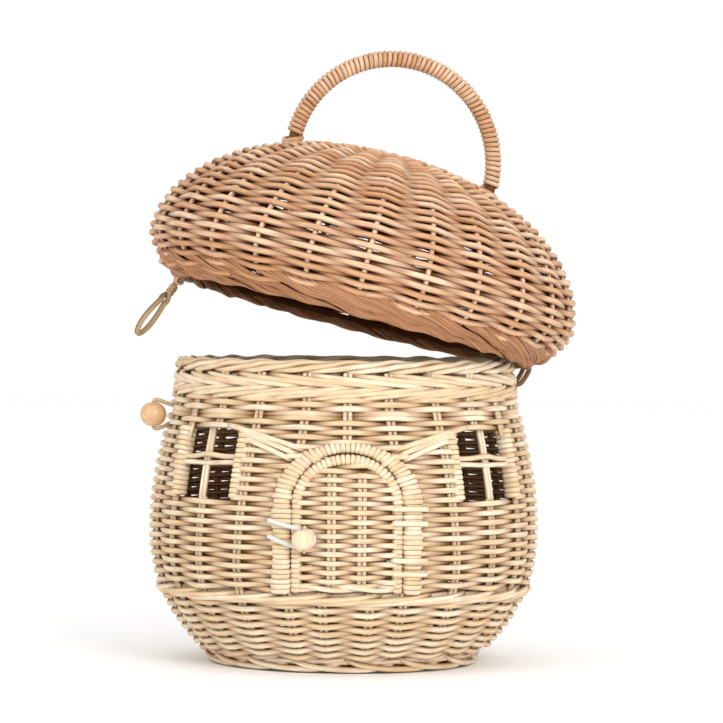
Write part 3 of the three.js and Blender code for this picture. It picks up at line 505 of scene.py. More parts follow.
# %% Lower wall
FOOT_TOP, SILL_BOTTOM, SILL_TOP, MIDDLE_TOP, UPPER_TOP = 6.5, 39.5, 46, 145, 155
FULL_RADIUS, FULL_SWING = 1.65, 2.25
UNDER_DOOR = 7.4
one_turn = leaned(pot_stakes, 0)[(stake_numbers > -STAKES // 2) & (stake_numbers <= STAKES // 2)]
lower_turn = np.sort(np.append(one_turn[np.abs(one_turn) > STEP / 2], [-UNDER_DOOR, UNDER_DOOR]))
lower_places = np.concatenate([lower_turn - 360, lower_turn, lower_turn + 360])
print("stakes of the lower wall:", len(lower_turn))


def climbing_weaver(low, high, pitch, steps=200):
    """Its length up the wall grows by one row in each turn, and its wave reads the count of stakes passed."""
    low, high = pot_length([low, high])
    turns = int(round((high - low) / pitch))
    gone = np.linspace(0, turns, turns * steps + 1)
    whole_turns = np.minimum(np.floor(gone), turns - 1)
    azimuth = 360 * (gone - whole_turns) - 180
    numbers = np.arange(len(lower_places)) - len(lower_turn)
    count = np.interp(azimuth, lower_places, numbers) + whole_turns * len(lower_turn)
    wave = over_under(count)
    length = low + (high - low) * gone / turns + slow_waves(azimuth + 97 * whole_turns, 0.2)
    return woven(POT, length, azimuth, POT_MIDDLE + FULL_SWING * wave, count, wave, FULL_RADIUS)


lower = [climbing_weaver(FOOT_TOP, SILL_BOTTOM, ROW_PITCH),
         pot_rods(FOOT_TOP, SILL_BOTTOM, lower_turn, None)]
place("lower_weave", lower, PALE, "pot", ["lower_wall"])

# %% [markdown]
# ## Waling
# A wale is a heavier band in which each strand passes outside two or three stakes and then dives behind one.
# Seen from outside it is a row of slanting strands, like a rope laid round the basket. Bands of opposite
# slant above each other make arrows, as they do below this rim.

# %% Wales
WALE_STEPS, WALE_TUCK = 18, 3.2


def wale(band, strands, span, slant, middle, reach, radius, sag=0.0):
    """Each strand crosses the band, from one length up the pot's wall to another, once while it goes round by
    span degrees. It starts and ends deep in the wall: its depth follows 1 - |2t - 1| to the fourth power.
    With sag it also hangs like a garland, by a parabola. Its relief follows the same curve down to 0.35 at
    the ends, where the finish paints shade."""
    low, high = band
    share = np.linspace(0, 1, WALE_STEPS)
    start = (np.arange(strands) + RNG.uniform(-0.12, 0.12, strands)) * 360 / strands
    azimuth = start[:, None] + span * share
    travel = slant * (high - low - 2 * radius) * (share - 0.5) + (low + high) / 2
    travel = travel + RNG.uniform(-0.25, 0.25, (strands, 1)) + sag * ((2 * share - 1) ** 2 - 1)
    out_share = 1 - np.abs(2 * share - 1) ** 4
    path, out = on_wall(POT, travel, azimuth, middle + reach * out_share - WALE_TUCK * (1 - out_share))
    tone = RNG.uniform(0, 1, (strands, 1))
    return swept(path, out, radius, tone=tone, relief=0.35 + 0.65 * out_share)


sill = wale(pot_length([SILL_BOTTOM - 1, SILL_TOP]), 24, 40, slant=1, middle=-2.2, reach=1.6, radius=1.75)
sill_back = wale(pot_length([SILL_BOTTOM, SILL_TOP]), 24, 40, slant=1, middle=-6.2, reach=0.6, radius=1.6)
sill_rods = pot_rods(SILL_BOTTOM, SILL_TOP, lower_turn, None)
place("sill_wale", [sill, sill_back, sill_rods], PALE, "pot", ["sill_waling"])

foot = wale((1.9, 9.0), 16, 46, slant=-1, middle=-2.2, reach=1.4, radius=1.7, sag=3.3)
foot_back = wale((1.2, 9.5), 24, 36, slant=1, middle=-5.0, reach=0.8, radius=1.75)
place("foot_scallops", [foot, foot_back], PALE, "pot", ["foot_border"])

# %% [markdown]
# ## The middle wall, with its door and windows
# Rows that meet an opening stop in its bound edge. For each row the openings give blocked stretches of
# azimuth, and the weavers run in what is left. The stakes stop there too.

# %% Openings in the middle wall
DOOR_HALF_WIDTH, DOOR_RISE, DOOR_SPRING, DOOR_GAP = 31.5, 28, 96.3, 0.9
FRAME_SIDE, FRAME_TOP = 9.2, 5.5
WINDOW_AZIMUTH, WINDOW_WIDTH, WINDOW_BOTTOM, WINDOW_TOP = 47.5, 43, 98.3, 137.2
FRAME_HALF = DOOR_HALF_WIDTH + DOOR_GAP + FRAME_SIDE
FRAME_RISE = DOOR_RISE + DOOR_GAP + FRAME_TOP
UNDER_BINDING = 4


def arch_half(z, half_width, rise):
    """Half the width of an arch at a height: straight up to the spring line, then half an ellipse."""
    above = np.clip((z - DOOR_SPRING) / rise, 0, 1)
    return half_width * np.sqrt(1 - above ** 2)


def rows_between(low, high, pitch):
    """Lengths of evenly spaced rows that fill the space between two heights of the pot."""
    low, high = pot_length([low, high])
    count = int(round((high - low) / pitch))
    return low + (np.arange(count) + 0.5) * (high - low) / count


def blocked(z):
    """The stretches of azimuth, in order from -180 to 180, that the openings block at a height."""
    radius = pot_radius(z)
    door = np.degrees(np.arcsin(max(arch_half(z, FRAME_HALF, FRAME_RISE) - UNDER_BINDING, 0) / radius))
    window = np.degrees(np.arcsin((WINDOW_WIDTH / 2 + UNDER_BINDING / 2) / radius))
    stretches = [(-door, door)] if z < DOOR_SPRING + FRAME_RISE - 1 else []
    if WINDOW_BOTTOM < z < WINDOW_TOP:
        stretches += [(side * WINDOW_AZIMUTH - window, side * WINDOW_AZIMUTH + window) for side in (-1, 1)]
    return sorted(stretches)


def middle_rows():
    """A full ring where nothing blocks a row, and else one weaver from each blocked stretch to the next."""
    strands = []
    for row, length in enumerate(rows_between(SILL_TOP, MIDDLE_TOP, ROW_PITCH)):
        stretches = blocked(float(pot_height(length)))
        places = leaned(pot_stakes, length)
        if not stretches:
            strands.append(ring_of_weave(POT, length, row, places, POT_MIDDLE))
            continue
        edges = [edge for stretch in stretches for edge in stretch]
        edges = edges[1:] + [edges[0] + 360]
        for start, stop in zip(edges[::2], edges[1::2]):
            strands.append(weaver(POT, length, start, stop, side_of(row), places, POT_MIDDLE))
    return strands


# %% Stakes of the middle wall
WINDOW_STAKES = [-3, 3]
DOOR_STAKES = [-1, 0, 1]
DOOR_STAKE_SPACING = 30
whole = [n for n in range(1 - STAKES // 2, STAKES // 2 + 1) if n not in WINDOW_STAKES + DOOR_STAKES]
rods = [pot_rods(SILL_TOP, MIDDLE_TOP, places_of(whole))]
for span in ((SILL_TOP, WINDOW_BOTTOM), (WINDOW_TOP, MIDDLE_TOP)):
    rods.append(pot_rods(*span, places_of(WINDOW_STAKES)))
for number in DOOR_STAKES:
    x_share = DOOR_STAKE_SPACING * abs(number) / FRAME_HALF
    top_of_frame = DOOR_SPRING + FRAME_RISE * np.sqrt(1 - x_share ** 2)
    rods.append(pot_rods(top_of_frame - 3, MIDDLE_TOP, places_of([number])))

# %% [markdown]
# The door's frame has shoulders: a few strands come down from the rows over each window and end behind the
# arch. They lie over the plain rows, so they are made apart from them, with both ends deep in the wall.

# %% Shoulders of the frame
# Each strand: the azimuths where it starts and ends, and the heights there.
SHOULDERS = ((42, 13, 139, 125.8), (36.5, 15, 135.2, 123.2), (34, 17.2, 131.8, 120.6))


def shoulders():
    """Azimuth and height change evenly along a strand, and its depth follows 1 - |2t - 1| to the fifth
    power. Its relief follows the same curve, so the ends that go into the wall get painted shade."""
    share = np.linspace(0, 1, 26)
    out_share = 1 - np.abs(2 * share - 1) ** 5
    strands = []
    for side in (-1, 1):
        for far, near, top, bottom in SHOULDERS:
            height = top + (bottom - top) * share ** 1.2
            azimuth = side * (far + (near - far) * share) + RNG.uniform(-0.5, 0.5)
            path, out = on_wall(POT, pot_length(height), azimuth, -4.2 + 3.7 * out_share)
            strands.append(swept(path, out, 1.6, 1.5, tone=RNG.uniform(0, 0.6), relief=out_share))
    return strands


place("middle_weave", middle_rows() + rods + shoulders(), PALE, "pot", ["middle_wall"])

# %% [markdown]
# ## Bound edges
# Where an opening is cut into a weave, its edge is bound: cane is wound round the edge stake turn beside
# turn. Each turn is a closed ring. Round the arch the turns stand like the rays of a fan, so one function
# takes any list of ring centres with the direction across the band.

# %% Rings round an edge
def in_pairs(low, high, count):
    """Random values, each shared by two turns in a row."""
    return np.repeat(RNG.uniform(low, high, count // 2 + 1), 2)[:count]


def wraps(centres, across, out, half_width, half_depth, radius, tones=None, along=None, steps=16):
    """A ring in the plane of across and out. Its corners are rounded off: each coordinate is a cosine or sine
    raised to a power below one, with its sign kept. The cane is flat where along, its half width, is more
    than its radius."""
    across, out = (np.broadcast_to(direction, centres.shape) for direction in (across, out))
    turn = np.arange(steps) * 2 * np.pi / steps

    def squared(wave):
        """A wave that stays longer near its ends, which turns a circle into a rounded square."""
        return np.sign(wave) * np.abs(wave) ** 0.6

    reach = (np.broadcast_to(half_width, len(centres)) - radius)[:, None] * squared(np.cos(turn))
    rise = (half_depth - radius) * squared(np.sin(turn))
    paths = centres[:, None] + reach[..., None] * across[:, None] + rise[:, None] * out[:, None]
    facing = np.cross(across, out)[:, None]
    tones = RNG.uniform(0, 1, len(centres)) if tones is None else tones
    along = radius if along is None else along
    return swept(paths, facing, radius, along, loop=True, tone=tones[:, None], relief=0.9, first_share=-0.25)


# %% The bound arch round the door
WRAP_PITCH, FLAT_WRAP, ARCH_WRAP_RADIUS = 2.75, 1.5, 0.85
AHEAD = 0.5


def arch_line(inner_half, inner_rise, side_width, top_width, bottom):
    """Centres of the rings of an arched band in x and z, the direction across it and its half widths.
    The band lies between two half ellipses, and runs straight down to bottom at both sides."""
    outer_half, outer_rise = inner_half + side_width, inner_rise + top_width
    rows = int(round((DOOR_SPRING - bottom) / WRAP_PITCH))
    up = bottom + (np.arange(rows) + 0.5) * (DOOR_SPRING - bottom) / rows
    middle_half, middle_rise = (inner_half + outer_half) / 2, (inner_rise + outer_rise) / 2
    fine = np.linspace(0, np.pi, 400)
    curve = outline_of(middle_half * np.cos(fine), middle_rise * np.sin(fine))
    turns = int(round(curve[0, -1] / WRAP_PITCH))
    angle = np.interp((np.arange(turns) + 0.5) * curve[0, -1] / turns, curve[0], fine)
    inner, outer = (np.stack([half * np.cos(angle), DOOR_SPRING + rise * np.sin(angle)], -1)
                    for half, rise in ((inner_half, inner_rise), (outer_half, outer_rise)))
    right = np.stack([np.full(rows, middle_half), up], -1)
    level, straight = np.tile([1.0, 0.0], (rows, 1)), np.full(rows, side_width)
    centres = np.concatenate([right, (inner + outer) / 2, right[::-1] * [-1, 1]])
    across = np.concatenate([level, unit(outer - inner), -level])
    widths = np.concatenate([straight, np.linalg.norm(outer - inner, axis=1), straight]) / 2
    return centres, across, widths


def arch_wraps(line, middle, half_depth, ragged):
    """Puts the rings of an arched band onto the pot's front wall, with a ragged outer edge."""
    centres, across, widths = line
    widths = widths + RNG.uniform(0, ragged, len(widths)) * (widths > widths.min() + 0.5)
    x, z = centres.T
    point, out = pot_at(x, z, middle)
    ahead, _ = pot_at(x + AHEAD * across[:, 0], z + AHEAD * across[:, 1], middle)
    tones = in_pairs(0, 1, len(x))
    along = FLAT_WRAP + RNG.uniform(-0.12, 0.08, (len(x), 1))
    return wraps(point, unit(ahead - point), out, widths + 0.2, half_depth, ARCH_WRAP_RADIUS, tones, along)


def arch_core(line, middle, radius):
    """A rod that runs up, over and down inside a band. Its low relief gives it painted shade."""
    path, out = pot_at(*line[0].T, middle)
    return swept(path, out, radius, tone=0.6, relief=0.3)


frame_line = arch_line(DOOR_HALF_WIDTH + DOOR_GAP, DOOR_RISE + DOOR_GAP, FRAME_SIDE, FRAME_TOP, SILL_TOP)
frame_rings = arch_wraps(frame_line, POT_MIDDLE + 0.4, POT_WALL / 2 + 0.4, 1.6)
frame_core = arch_core(frame_line, POT_MIDDLE, 2.2)
place("door_frame_binding", [frame_rings, frame_core], PALE, "pot", ["door_frame"])

# %% [markdown]
# ## Windows
# The upright bar of each window is the pair of stakes that stands there, left bare. The crossbar is two
# weavers, one in front of the upright and one behind it. Both sides of the opening are bound like the
# door's frame, in pairs of turns.

# %% Bound sides of the windows
def window_sides():
    """Rings on both sides of both windows. Their widths wander in pairs of turns."""
    rows = rows_between(WINDOW_BOTTOM, WINDOW_TOP, WRAP_PITCH)
    radius = pot_radius(pot_height(rows))
    half = np.degrees(np.arcsin(WINDOW_WIDTH / 2 / radius))
    rings = []
    for side in (-1, 1):
        for away, width in ((-1, 7), (1, 7.5)):
            widths = width / 2 + in_pairs(-0.7, 0.7, len(rows))
            azimuth = side * (WINDOW_AZIMUTH + away * (half + np.degrees(widths / radius)))
            centre, out = on_wall(POT, rows, azimuth, POT_MIDDLE + 0.2)
            across = around(azimuth + 90, 1, 0)
            tones = in_pairs(0, 1, len(rows))
            rings.append(wraps(centre, across, out, widths, POT_WALL / 2 + 0.5, 1.1, tones, FLAT_WRAP))
    return rings


place("window_bindings", window_sides(), PALE, "pot")

# %% Window bars
UPRIGHT_AZIMUTH, UPRIGHT_HALF_GAP, BARS_PAST_OPENING = 49.3, 1.4, 5
CROSSBAR_MIDDLE, CROSSBAR_RADIUS = 119.5, 106
BAR_THICKNESS, BAR_INSET = 2.9, 0.8
UPRIGHT_BACK = BAR_INSET + 1.5 * BAR_THICKNESS + 1.0
# Each weaver of the crossbar: height over its middle, rise and depth at the upright, and tone.
CROSSBAR_WEAVERS = ((1.5, 1.2, 0, 0.6), (-1.6, 0, 3.4, 0.0))


def window_bars(side):
    """The upright's two rods, and two weavers that cross it. Each weaver's height and depth bulge at the
    upright, by a bell curve over the opening."""
    z = np.linspace(WINDOW_BOTTOM - BARS_PAST_OPENING, WINDOW_TOP + BARS_PAST_OPENING, 24)
    beside = np.array([[-UPRIGHT_HALF_GAP], [UPRIGHT_HALF_GAP]])
    azimuth = side * UPRIGHT_AZIMUTH + np.degrees(beside / pot_radius(z))
    path, out = on_wall(POT, pot_length(z), azimuth, -UPRIGHT_BACK)
    bars = [swept(path, out, 1.42, tone=np.array([[0.1], [0.35]]))]
    share = np.linspace(-1.25, 1.25, 28)
    spread = np.degrees(np.arcsin(WINDOW_WIDTH / 2 * share / CROSSBAR_RADIUS))
    bulge = np.exp(-(share / 0.45) ** 2)
    for over, rise, behind, tone in CROSSBAR_WEAVERS:
        depth = -BAR_INSET - BAR_THICKNESS / 2 - 1.6 * (1 - bulge) - behind * bulge
        height = CROSSBAR_MIDDLE + over + rise * bulge - 0.5 * share * side
        path, out = on_wall(POT, pot_length(height), side * WINDOW_AZIMUTH + spread, depth)
        bars.append(swept(path, out, 1.5, tone=tone))
    return bars


for name, side in (("left", -1), ("right", 1)):
    place(f"window_{name}_bars", window_bars(side), PALE, "pot",
          [f"window_{name}_upright", f"window_{name}_crossbar"])

# %% [markdown]
# ## The upper wall and the rolled rim
# The last plain rows meet three bands of waling: a rising one, a falling one above it, and a stouter one
# behind both. Over them a last band of strands rolls over the crest and ends inside.

# %% Upper wall and rim
upper_rows = [ring_of_weave(POT, length, row, leaned(pot_stakes, length), POT_MIDDLE, radius=FULL_RADIUS,
                            swing=FULL_SWING)
              for row, length in enumerate(rows_between(MIDDLE_TOP, UPPER_TOP, ROW_PITCH))]
place("upper_weave", upper_rows + [pot_rods(MIDDLE_TOP, UPPER_TOP + 6)], PALE, "pot", ["upper_wall"])

RIM_CREST_RADIUS = 4.8
CREST_RADIUS, CREST_HEIGHT = POT_NECK_RADIUS - RIM_CREST_RADIUS - 1.6, POT_HEIGHT - RIM_CREST_RADIUS
RIM_RODS_TOP = 168


def rolled_crest(strands, span, radius, steps=30):
    """Strands that start outside below the crest, go over it and end inside. The angle round the crest's own
    centre goes from -50 to 215 degrees while the strand goes round the basket by span degrees. Its relief
    falls to 0.4 at both ends, where the finish paints shade."""
    share = np.linspace(0, 1, steps)
    start = (np.arange(strands) + RNG.uniform(-0.12, 0.12, strands))[:, None] * 360 / strands
    azimuth = start + span * share
    angle = np.radians(-50 + 265 * share)
    out_share = 1 - np.abs(2 * share - 1) ** 5
    waves = np.cos(np.radians(STAKES * azimuth))
    reach = RIM_CREST_RADIUS - radius + 0.2 - 2.2 * (1 - out_share) + 0.5 * waves
    point = around(azimuth, CREST_RADIUS + reach * np.cos(angle), CREST_HEIGHT + reach * np.sin(angle))
    out = around(azimuth, np.cos(angle), np.sin(angle))
    tone = RNG.uniform(0, 1, (strands, 1))
    return swept(point, out, radius, tone=tone, relief=0.4 + 0.6 * out_share)


# Each wale: its lower and upper height, strands, span, slant, middle, reach and radius.
RIM_WALES = ((152.5, 162, 26, 46, 1, -2.7, 1.2, 1.5),
             (158, 168.5, 26, 44, -1, -3.3, 1.2, 1.6),
             (154, 169, 30, 34, 1, -6.6, 0.4, 1.8))
rim = [wale(pot_length(sizes[:2]), *sizes[2:]) for sizes in RIM_WALES]
rim += [rolled_crest(28, 62, 1.65), pot_rods(UPPER_TOP, RIM_RODS_TOP)]
place("rim_wales", rim, PALE, "pot", ["rim_border"])

# %% [markdown]
# ## The woven base
# A round base starts from a cross of short rods. Rings of weaving run round them and spread them out like
# the spokes of a wheel. The rows are the wall's own, on another outline: a level line from the middle
# outwards, whose outer side faces down.

# %% Base
BASE_RADIUS, BASE_HEIGHT = 70, 3.2
BASE = outline_of(np.linspace(0.5, BASE_RADIUS, 200), np.full(200, BASE_HEIGHT))
even_places = stake_numbers * STEP


def base_length(radius):
    """The length along the base's outline at a radius."""
    return float(np.interp(radius, BASE[1], BASE[0]))


base_rows = [weaver(BASE, base_length(radius), 0, 360 + STEP / 2, side_of(row), even_places,
                    middle=0, radius=1.45, swing=1.3, wander=0.15)
             for row, radius in enumerate(np.arange(10, BASE_RADIUS, 2.9))]
base_rods = stakes(BASE, base_length(1), base_length(BASE_RADIUS), even_places[STAKES : 2 * STAKES],
                   middle=0, apart=0, radius=1.3)
place("base_weave", base_rows + [base_rods], PALE, "pot", ["base_disc"])

# %% [markdown]
# ## The door
# The door is a small weave of its own: two pairs of stakes, rows that end in a bound edge, and a pair of
# twined strands along the bottom. Its rows have the pot's curve, so it closes flush with the wall.

# %% Door panel
DOOR_INSET, BINDING_WIDTH = 1, 5.5
DOOR_BOTTOM = SILL_TOP + 0.5
DOOR_MIDDLE = POT_MIDDLE - DOOR_INSET / 2
DOOR_ROW_PITCH = 2.62
DOOR_STAKE_X = np.array([-9.0, 8.5])
DOOR_STAKE_GAP = DOOR_STAKE_X[1] - DOOR_STAKE_X[0]


def door_rows():
    """Rows of the panel: the depth is a wave whose crests are at the door's two stakes, turned round in
    every other row. The relief follows the wave, so the finish paints shade where a row goes behind a stake."""
    strands = []
    lengths = rows_between(SILL_TOP + 3, DOOR_SPRING + DOOR_RISE - BINDING_WIDTH, DOOR_ROW_PITCH)
    for row, length in enumerate(lengths):
        z = float(pot_height(length))
        half = arch_half(z, DOOR_HALF_WIDTH - 3.5, DOOR_RISE - 3)
        if half < 4:
            continue
        x = np.linspace(-half, half, 40)
        wave = side_of(row) * over_under((x - DOOR_STAKE_X[0]) / DOOR_STAKE_GAP)
        bend = RNG.uniform(-0.35, 0.35) * np.sin(x / 9) + RNG.uniform(-0.2, 0.2)
        path, out = pot_at(x, z + bend, DOOR_MIDDLE + 2.2 * wave)
        strands.append(swept(path, out, 1.45 + 0.12 * wave, 1.4, tone=RNG.uniform(0, 0.9),
                             relief=(wave + 1) / 2))
    return strands


def arch_rise_at(x):
    """How far the panel's arch stands over its spring line at x."""
    return (DOOR_RISE - BINDING_WIDTH) * np.sqrt(1 - (x / (DOOR_HALF_WIDTH - BINDING_WIDTH)) ** 2)


def door_rods():
    """Two rods at each of the door's stakes, from the lower edge to just under the arch."""
    rods = []
    for x in DOOR_STAKE_X:
        for beside in (-1.4, 1.4):
            z = np.linspace(SILL_TOP + 1, 0.97 * (DOOR_SPRING + arch_rise_at(x)), 30)
            path, out = pot_at(x + beside, z, DOOR_MIDDLE)
            rods.append(swept(path, out, 1.35, tone=RNG.uniform(0, 0.6), relief=0.8))
    return rods


place("door_weave", door_rows() + door_rods(), PALE, "door", ["door_panel"])

# %% Door binding
door_line = arch_line(DOOR_HALF_WIDTH - BINDING_WIDTH, DOOR_RISE - BINDING_WIDTH,
                      BINDING_WIDTH, BINDING_WIDTH, DOOR_BOTTOM)
door_rings = arch_wraps(door_line, DOOR_MIDDLE, POT_WALL / 2 - 0.1, 0.0)


def door_bottom():
    """Two strands twined round each other along the door's lower edge: equal waves half a turn apart."""
    x = np.linspace(-DOOR_HALF_WIDTH + 0.8, DOOR_HALF_WIDTH - 0.8, 60)
    strands = []
    for start in (0, np.pi):
        turn = np.pi * x / 24 + start
        path, out = pot_at(x, SILL_TOP + 2.6 + 1.0 * np.cos(turn), POT_MIDDLE + 1.8 * np.sin(turn))
        strands.append(swept(path, out, 1.55, tone=RNG.uniform(0, 0.6), relief=0.9))
    return strands


door_core = arch_core(door_line, POT_MIDDLE - 0.5, 1.6)
place("door_binding_rings", [door_rings, door_core] + door_bottom(), PALE, "door", ["door_binding"])
print("door:", round(2 * DOOR_HALF_WIDTH), "by", round(DOOR_SPRING + DOOR_RISE - SILL_TOP), "mm")

# %% [markdown]
# ## Beads
# The beads are turned wood: a lathe profile turned round the hole. A sphere would do from afar, but the hole
# with the strand in it shows from close by.

# %% Bead shape and wood
def bead_profile(radius, bore, steps=28):
    """From the hole's upper edge over the outside to its lower edge, then up through the hole."""
    start = np.arcsin(bore / radius) + 0.12
    angle = np.linspace(start, np.pi - start, steps)
    outer = np.stack([radius * np.sin(angle), 0.96 * radius * np.cos(angle)], -1)
    rounded = [(bore, outer[-1, 1] + 0.3), (bore, outer[0, 1] - 0.3)]
    return np.concatenate([outer, rounded])


def wood_finish(name, pale, deep, ring):
    """Long grain from a noise that is squeezed along one axis, and a satin polish."""
    material, shader, node = finish(name, 0.38)
    shader.inputs["Coat Weight"].default_value = 0.15
    where = node("ShaderNodeTexCoord").outputs["Object"]
    colour = mixed(node, ranged(node, noise(node, where, 120, 1), 0.35, 0.7), pale, deep)
    grain = noise(node, where, 3.0, 3, (160, 160, 22))
    fill(shader.inputs["Base Color"], mixed(node, ranged(node, grain, 0.5, 0.75, 0.5), colour, ring))
    return material


PALE_WOOD = (wood_finish("pale_bead_wood", (0.84, 0.66, 0.46, 1), (0.76, 0.55, 0.34, 1),
                         (0.60, 0.38, 0.20, 1)),
             "pale_bead")
TAN_WOOD = (wood_finish("tan_bead_wood", (0.68, 0.43, 0.23, 1), (0.58, 0.34, 0.16, 1),
                        (0.36, 0.18, 0.07, 1)),
            "tan_bead")

# %% Curves through points
def smooth_path(points, count):
    """A curve through the points: each span is a cubic whose end slopes are half the step between
    neighbours. A point is added past each end, as far on as the last step."""
    points = np.asarray(points, float)
    padded = np.concatenate([2 * points[:1] - points[1:2], points, 2 * points[-1:] - points[-2:-1]])
    spans = len(padded) - 3
    where = np.linspace(0, spans, count)
    span = np.minimum(where.astype(int), spans - 1)
    t = (where - span)[:, None]
    a, b, c, d = (padded[span + step] for step in range(4))
    square, cube = 2 * a - 5 * b + 4 * c - d, 3 * b - a - 3 * c + d
    return 0.5 * (2 * b + (c - a) * t + square * t ** 2 + cube * t ** 3)


def print_length(name, line):
    """The sum of the steps from point to point."""
    print(f"{name}: {np.linalg.norm(np.diff(line, axis=0), axis=1).sum():.0f} mm long")


# %% The door's bead and its tie
KNOB_AZIMUTH, KNOB_HEIGHT, KNOB_RADIUS, KNOB_LIFT = -11.7, 76.978, 6.2, 7.5
DOOR_SURFACE = float(pot_radius(KNOB_HEIGHT)) - DOOR_INSET


def at_knob(along, rise, up):
    """A place near the knob: along the wall, out from the door's surface and up."""
    azimuth = KNOB_AZIMUTH + np.degrees(np.asarray(along) / POT_BELLY_RADIUS)
    return around(azimuth, DOOR_SURFACE + np.asarray(rise), KNOB_HEIGHT + np.asarray(up))


knob = lathed(bead_profile(KNOB_RADIUS, 1.5), at_knob(0, KNOB_LIFT, 0), 0.4)
place("door_bead", [knob], PALE_WOOD, "door", ["door_knob"])

tie_rise = [-3, 1.2, 5.0, 7.3, 7.3, 5.0, 1.2, -3]
tie_up = [5.4, 6.3, 7.0, 5.0, -5.0, -7.0, -6.3, -5.4]
tie_path = smooth_path(at_knob(0, tie_rise, tie_up), 44)
print_length("door bead tie", tie_path)
tie_facing = at_knob(40, KNOB_LIFT, 0) - at_knob(0, KNOB_LIFT, 0)
place("door_bead_tie", [swept(tie_path, tie_facing, 0.8, tone=0.2)], PALE, "door", ["door_knob_tie"])

# %% [markdown]
# ## The elastic
# A thin knitted cord comes out of the wall beside the frame, goes round the bead and back into the wall. It
# could be a straight tube, but its cover has small slanting ribs, which a wave texture along the cord's own
# length gives.

# %% Elastic cord
def cord_finish():
    """Off-white with slanting ribs: a wave along the cord's own length and round. Where the wave is low, in
    the grooves between the ribs, its colour is darker: painted shade.
    """
    material, shader, node = finish("elastic_cord", 0.75, sheen=0.3)
    uv = node("ShaderNodeUVMap", uv_map="along_cane").outputs["UV"]
    rib_map = node("ShaderNodeMapping", {"Vector": uv, "Scale": (14, 3, 1)}).outputs["Vector"]
    ribs = node("ShaderNodeTexWave", {"Vector": rib_map, "Scale": 1.0, "Distortion": 0.4},
                bands_direction="DIAGONAL").outputs["Fac"]
    fill(shader.inputs["Base Color"], mixed(node, ribs, (0.58, 0.55, 0.49, 1), (0.76, 0.74, 0.70, 1)))
    bump = node("ShaderNodeBump", {"Height": ribs, "Strength": 0.5, "Distance": 0.0002})
    fill(shader.inputs["Normal"], bump.outputs["Normal"])
    return material


WHITE = (cord_finish(), "white_elastic")
elastic_along = [-20.5, -20.4, -18.8, -11.25, -3.4, 0, 3.3, 4.9, 3.3, 0, -3.4, -11.25, -18.8, -20.4, -20.5]
elastic_rise = [-1.0, 1.6, 3.9, 3.6, 2.2, 1.5, 1.5, 1.5, 1.5, 1.5, 2.2, 3.6, 3.9, 1.6, -1.0]
elastic_up = [10, 10, 9.7, 7.6, 5.6, 4.6, 3.3, 0, -3.3, -4.6, -4.6, -2.2, 0.7, 1, 1.0]
elastic_path = smooth_path(at_knob(elastic_along, elastic_rise, elastic_up), 120)
print_length("elastic", elastic_path)
# It faces up, tipped outwards a little, because it nowhere runs that way.
elastic_facing = UP + 0.4 * around(KNOB_AZIMUTH, 1, 0)
elastic = swept(elastic_path, elastic_facing, 1.3, sides=10)
place("elastic_cord", [elastic], WHITE, "pot", ["elastic_loop"])

# %% [markdown]
# ## Door hinges
# Four short flat lashings hold the door to its frame. They have no pin: they bend where they cross the crack.

# %% Door lashings
LASHING_X, LASHING_SHARES = 31.95, (0.23, 0.38, 0.79, 0.95)
LASHING_BEND = ((0.0296, -0.1, 0.07), (0.0345, -0.1, 0.07))
lashing_along = np.array([-6.3, -6.1, -4.6, -2, 0, 3, 8, 11.2, 12.5, 12.8])
lashing_proud = np.array([-3.4, -0.9, 0.25, 0.55, 0.7, 1.2, 1.5, 1.1, -0.4, -3.0])
lashing_up = np.array([0.3, 0.2, 0.1, 0, 0, 0, -0.1, -0.2, -0.2, -0.3])


def lashing(share):
    """A flat strand out of the door's face, across the crack and back into the frame, at a share of the
    straight side's height."""
    z = DOOR_BOTTOM + share * (DOOR_SPRING - DOOR_BOTTOM)
    point, out = pot_at(LASHING_X + lashing_along, z + lashing_up, lashing_proud)
    path = smooth_path(point, 30)
    print_length("lashing", path)
    return swept(path, smooth_path(out, 30), 1.5, 0.62, sides=10, tone=RNG.uniform(0, 0.5))


place("door_lashings", [lashing(share) for share in LASHING_SHARES], PALE, "pot",
      [f"door_lashing_{n}" for n in (1, 2, 3, 4)], blend=("door", "pot", *LASHING_BEND))

# %% [markdown]
# ## The latch bead
# A larger wooden bead hangs at the side. The loop of the lid goes over it. A strand runs through its hole and
# is tucked into the wall above and below.

# %% Latch bead
LATCH_AZIMUTH, LATCH_HEIGHT, LATCH_RADIUS = -80, 142, 7.5
LATCH_REACH = float(pot_radius(LATCH_HEIGHT)) + 9.0
latch = lathed(bead_profile(LATCH_RADIUS, 1.9), around(LATCH_AZIMUTH, LATCH_REACH, LATCH_HEIGHT), 0.5)
place("latch_ball", [latch], TAN_WOOD, "pot", ["latch_bead"])

latch_tie_out = np.array([-14.5, -9.0, -4.5, -1.6, 0, 0, -1.6, -4.5, -9.0, -14.5])
latch_tie_up = np.array([4.6, 6.0, 7.6, 8.2, 6.0, -6.0, -8.2, -7.6, -6.0, -4.6])
latch_tie = smooth_path(around(LATCH_AZIMUTH, LATCH_REACH + latch_tie_out, LATCH_HEIGHT + latch_tie_up), 60)
print_length("latch bead tie", latch_tie)
latch_strand = swept(latch_tie, around(LATCH_AZIMUTH + 90, 1, 0), 1.1, tone=0.2)
place("latch_ball_tie", [latch_strand], DARKER_TAN, "pot", ["latch_bead_tie"])

# %% [markdown]
# ## The cap's own frame
# The cap stands open by 14.3 degrees, about a line that runs through the loops at its hinge. Its pieces
# are made as if it were shut and upright on its own lip, and then all their points get the same turn.

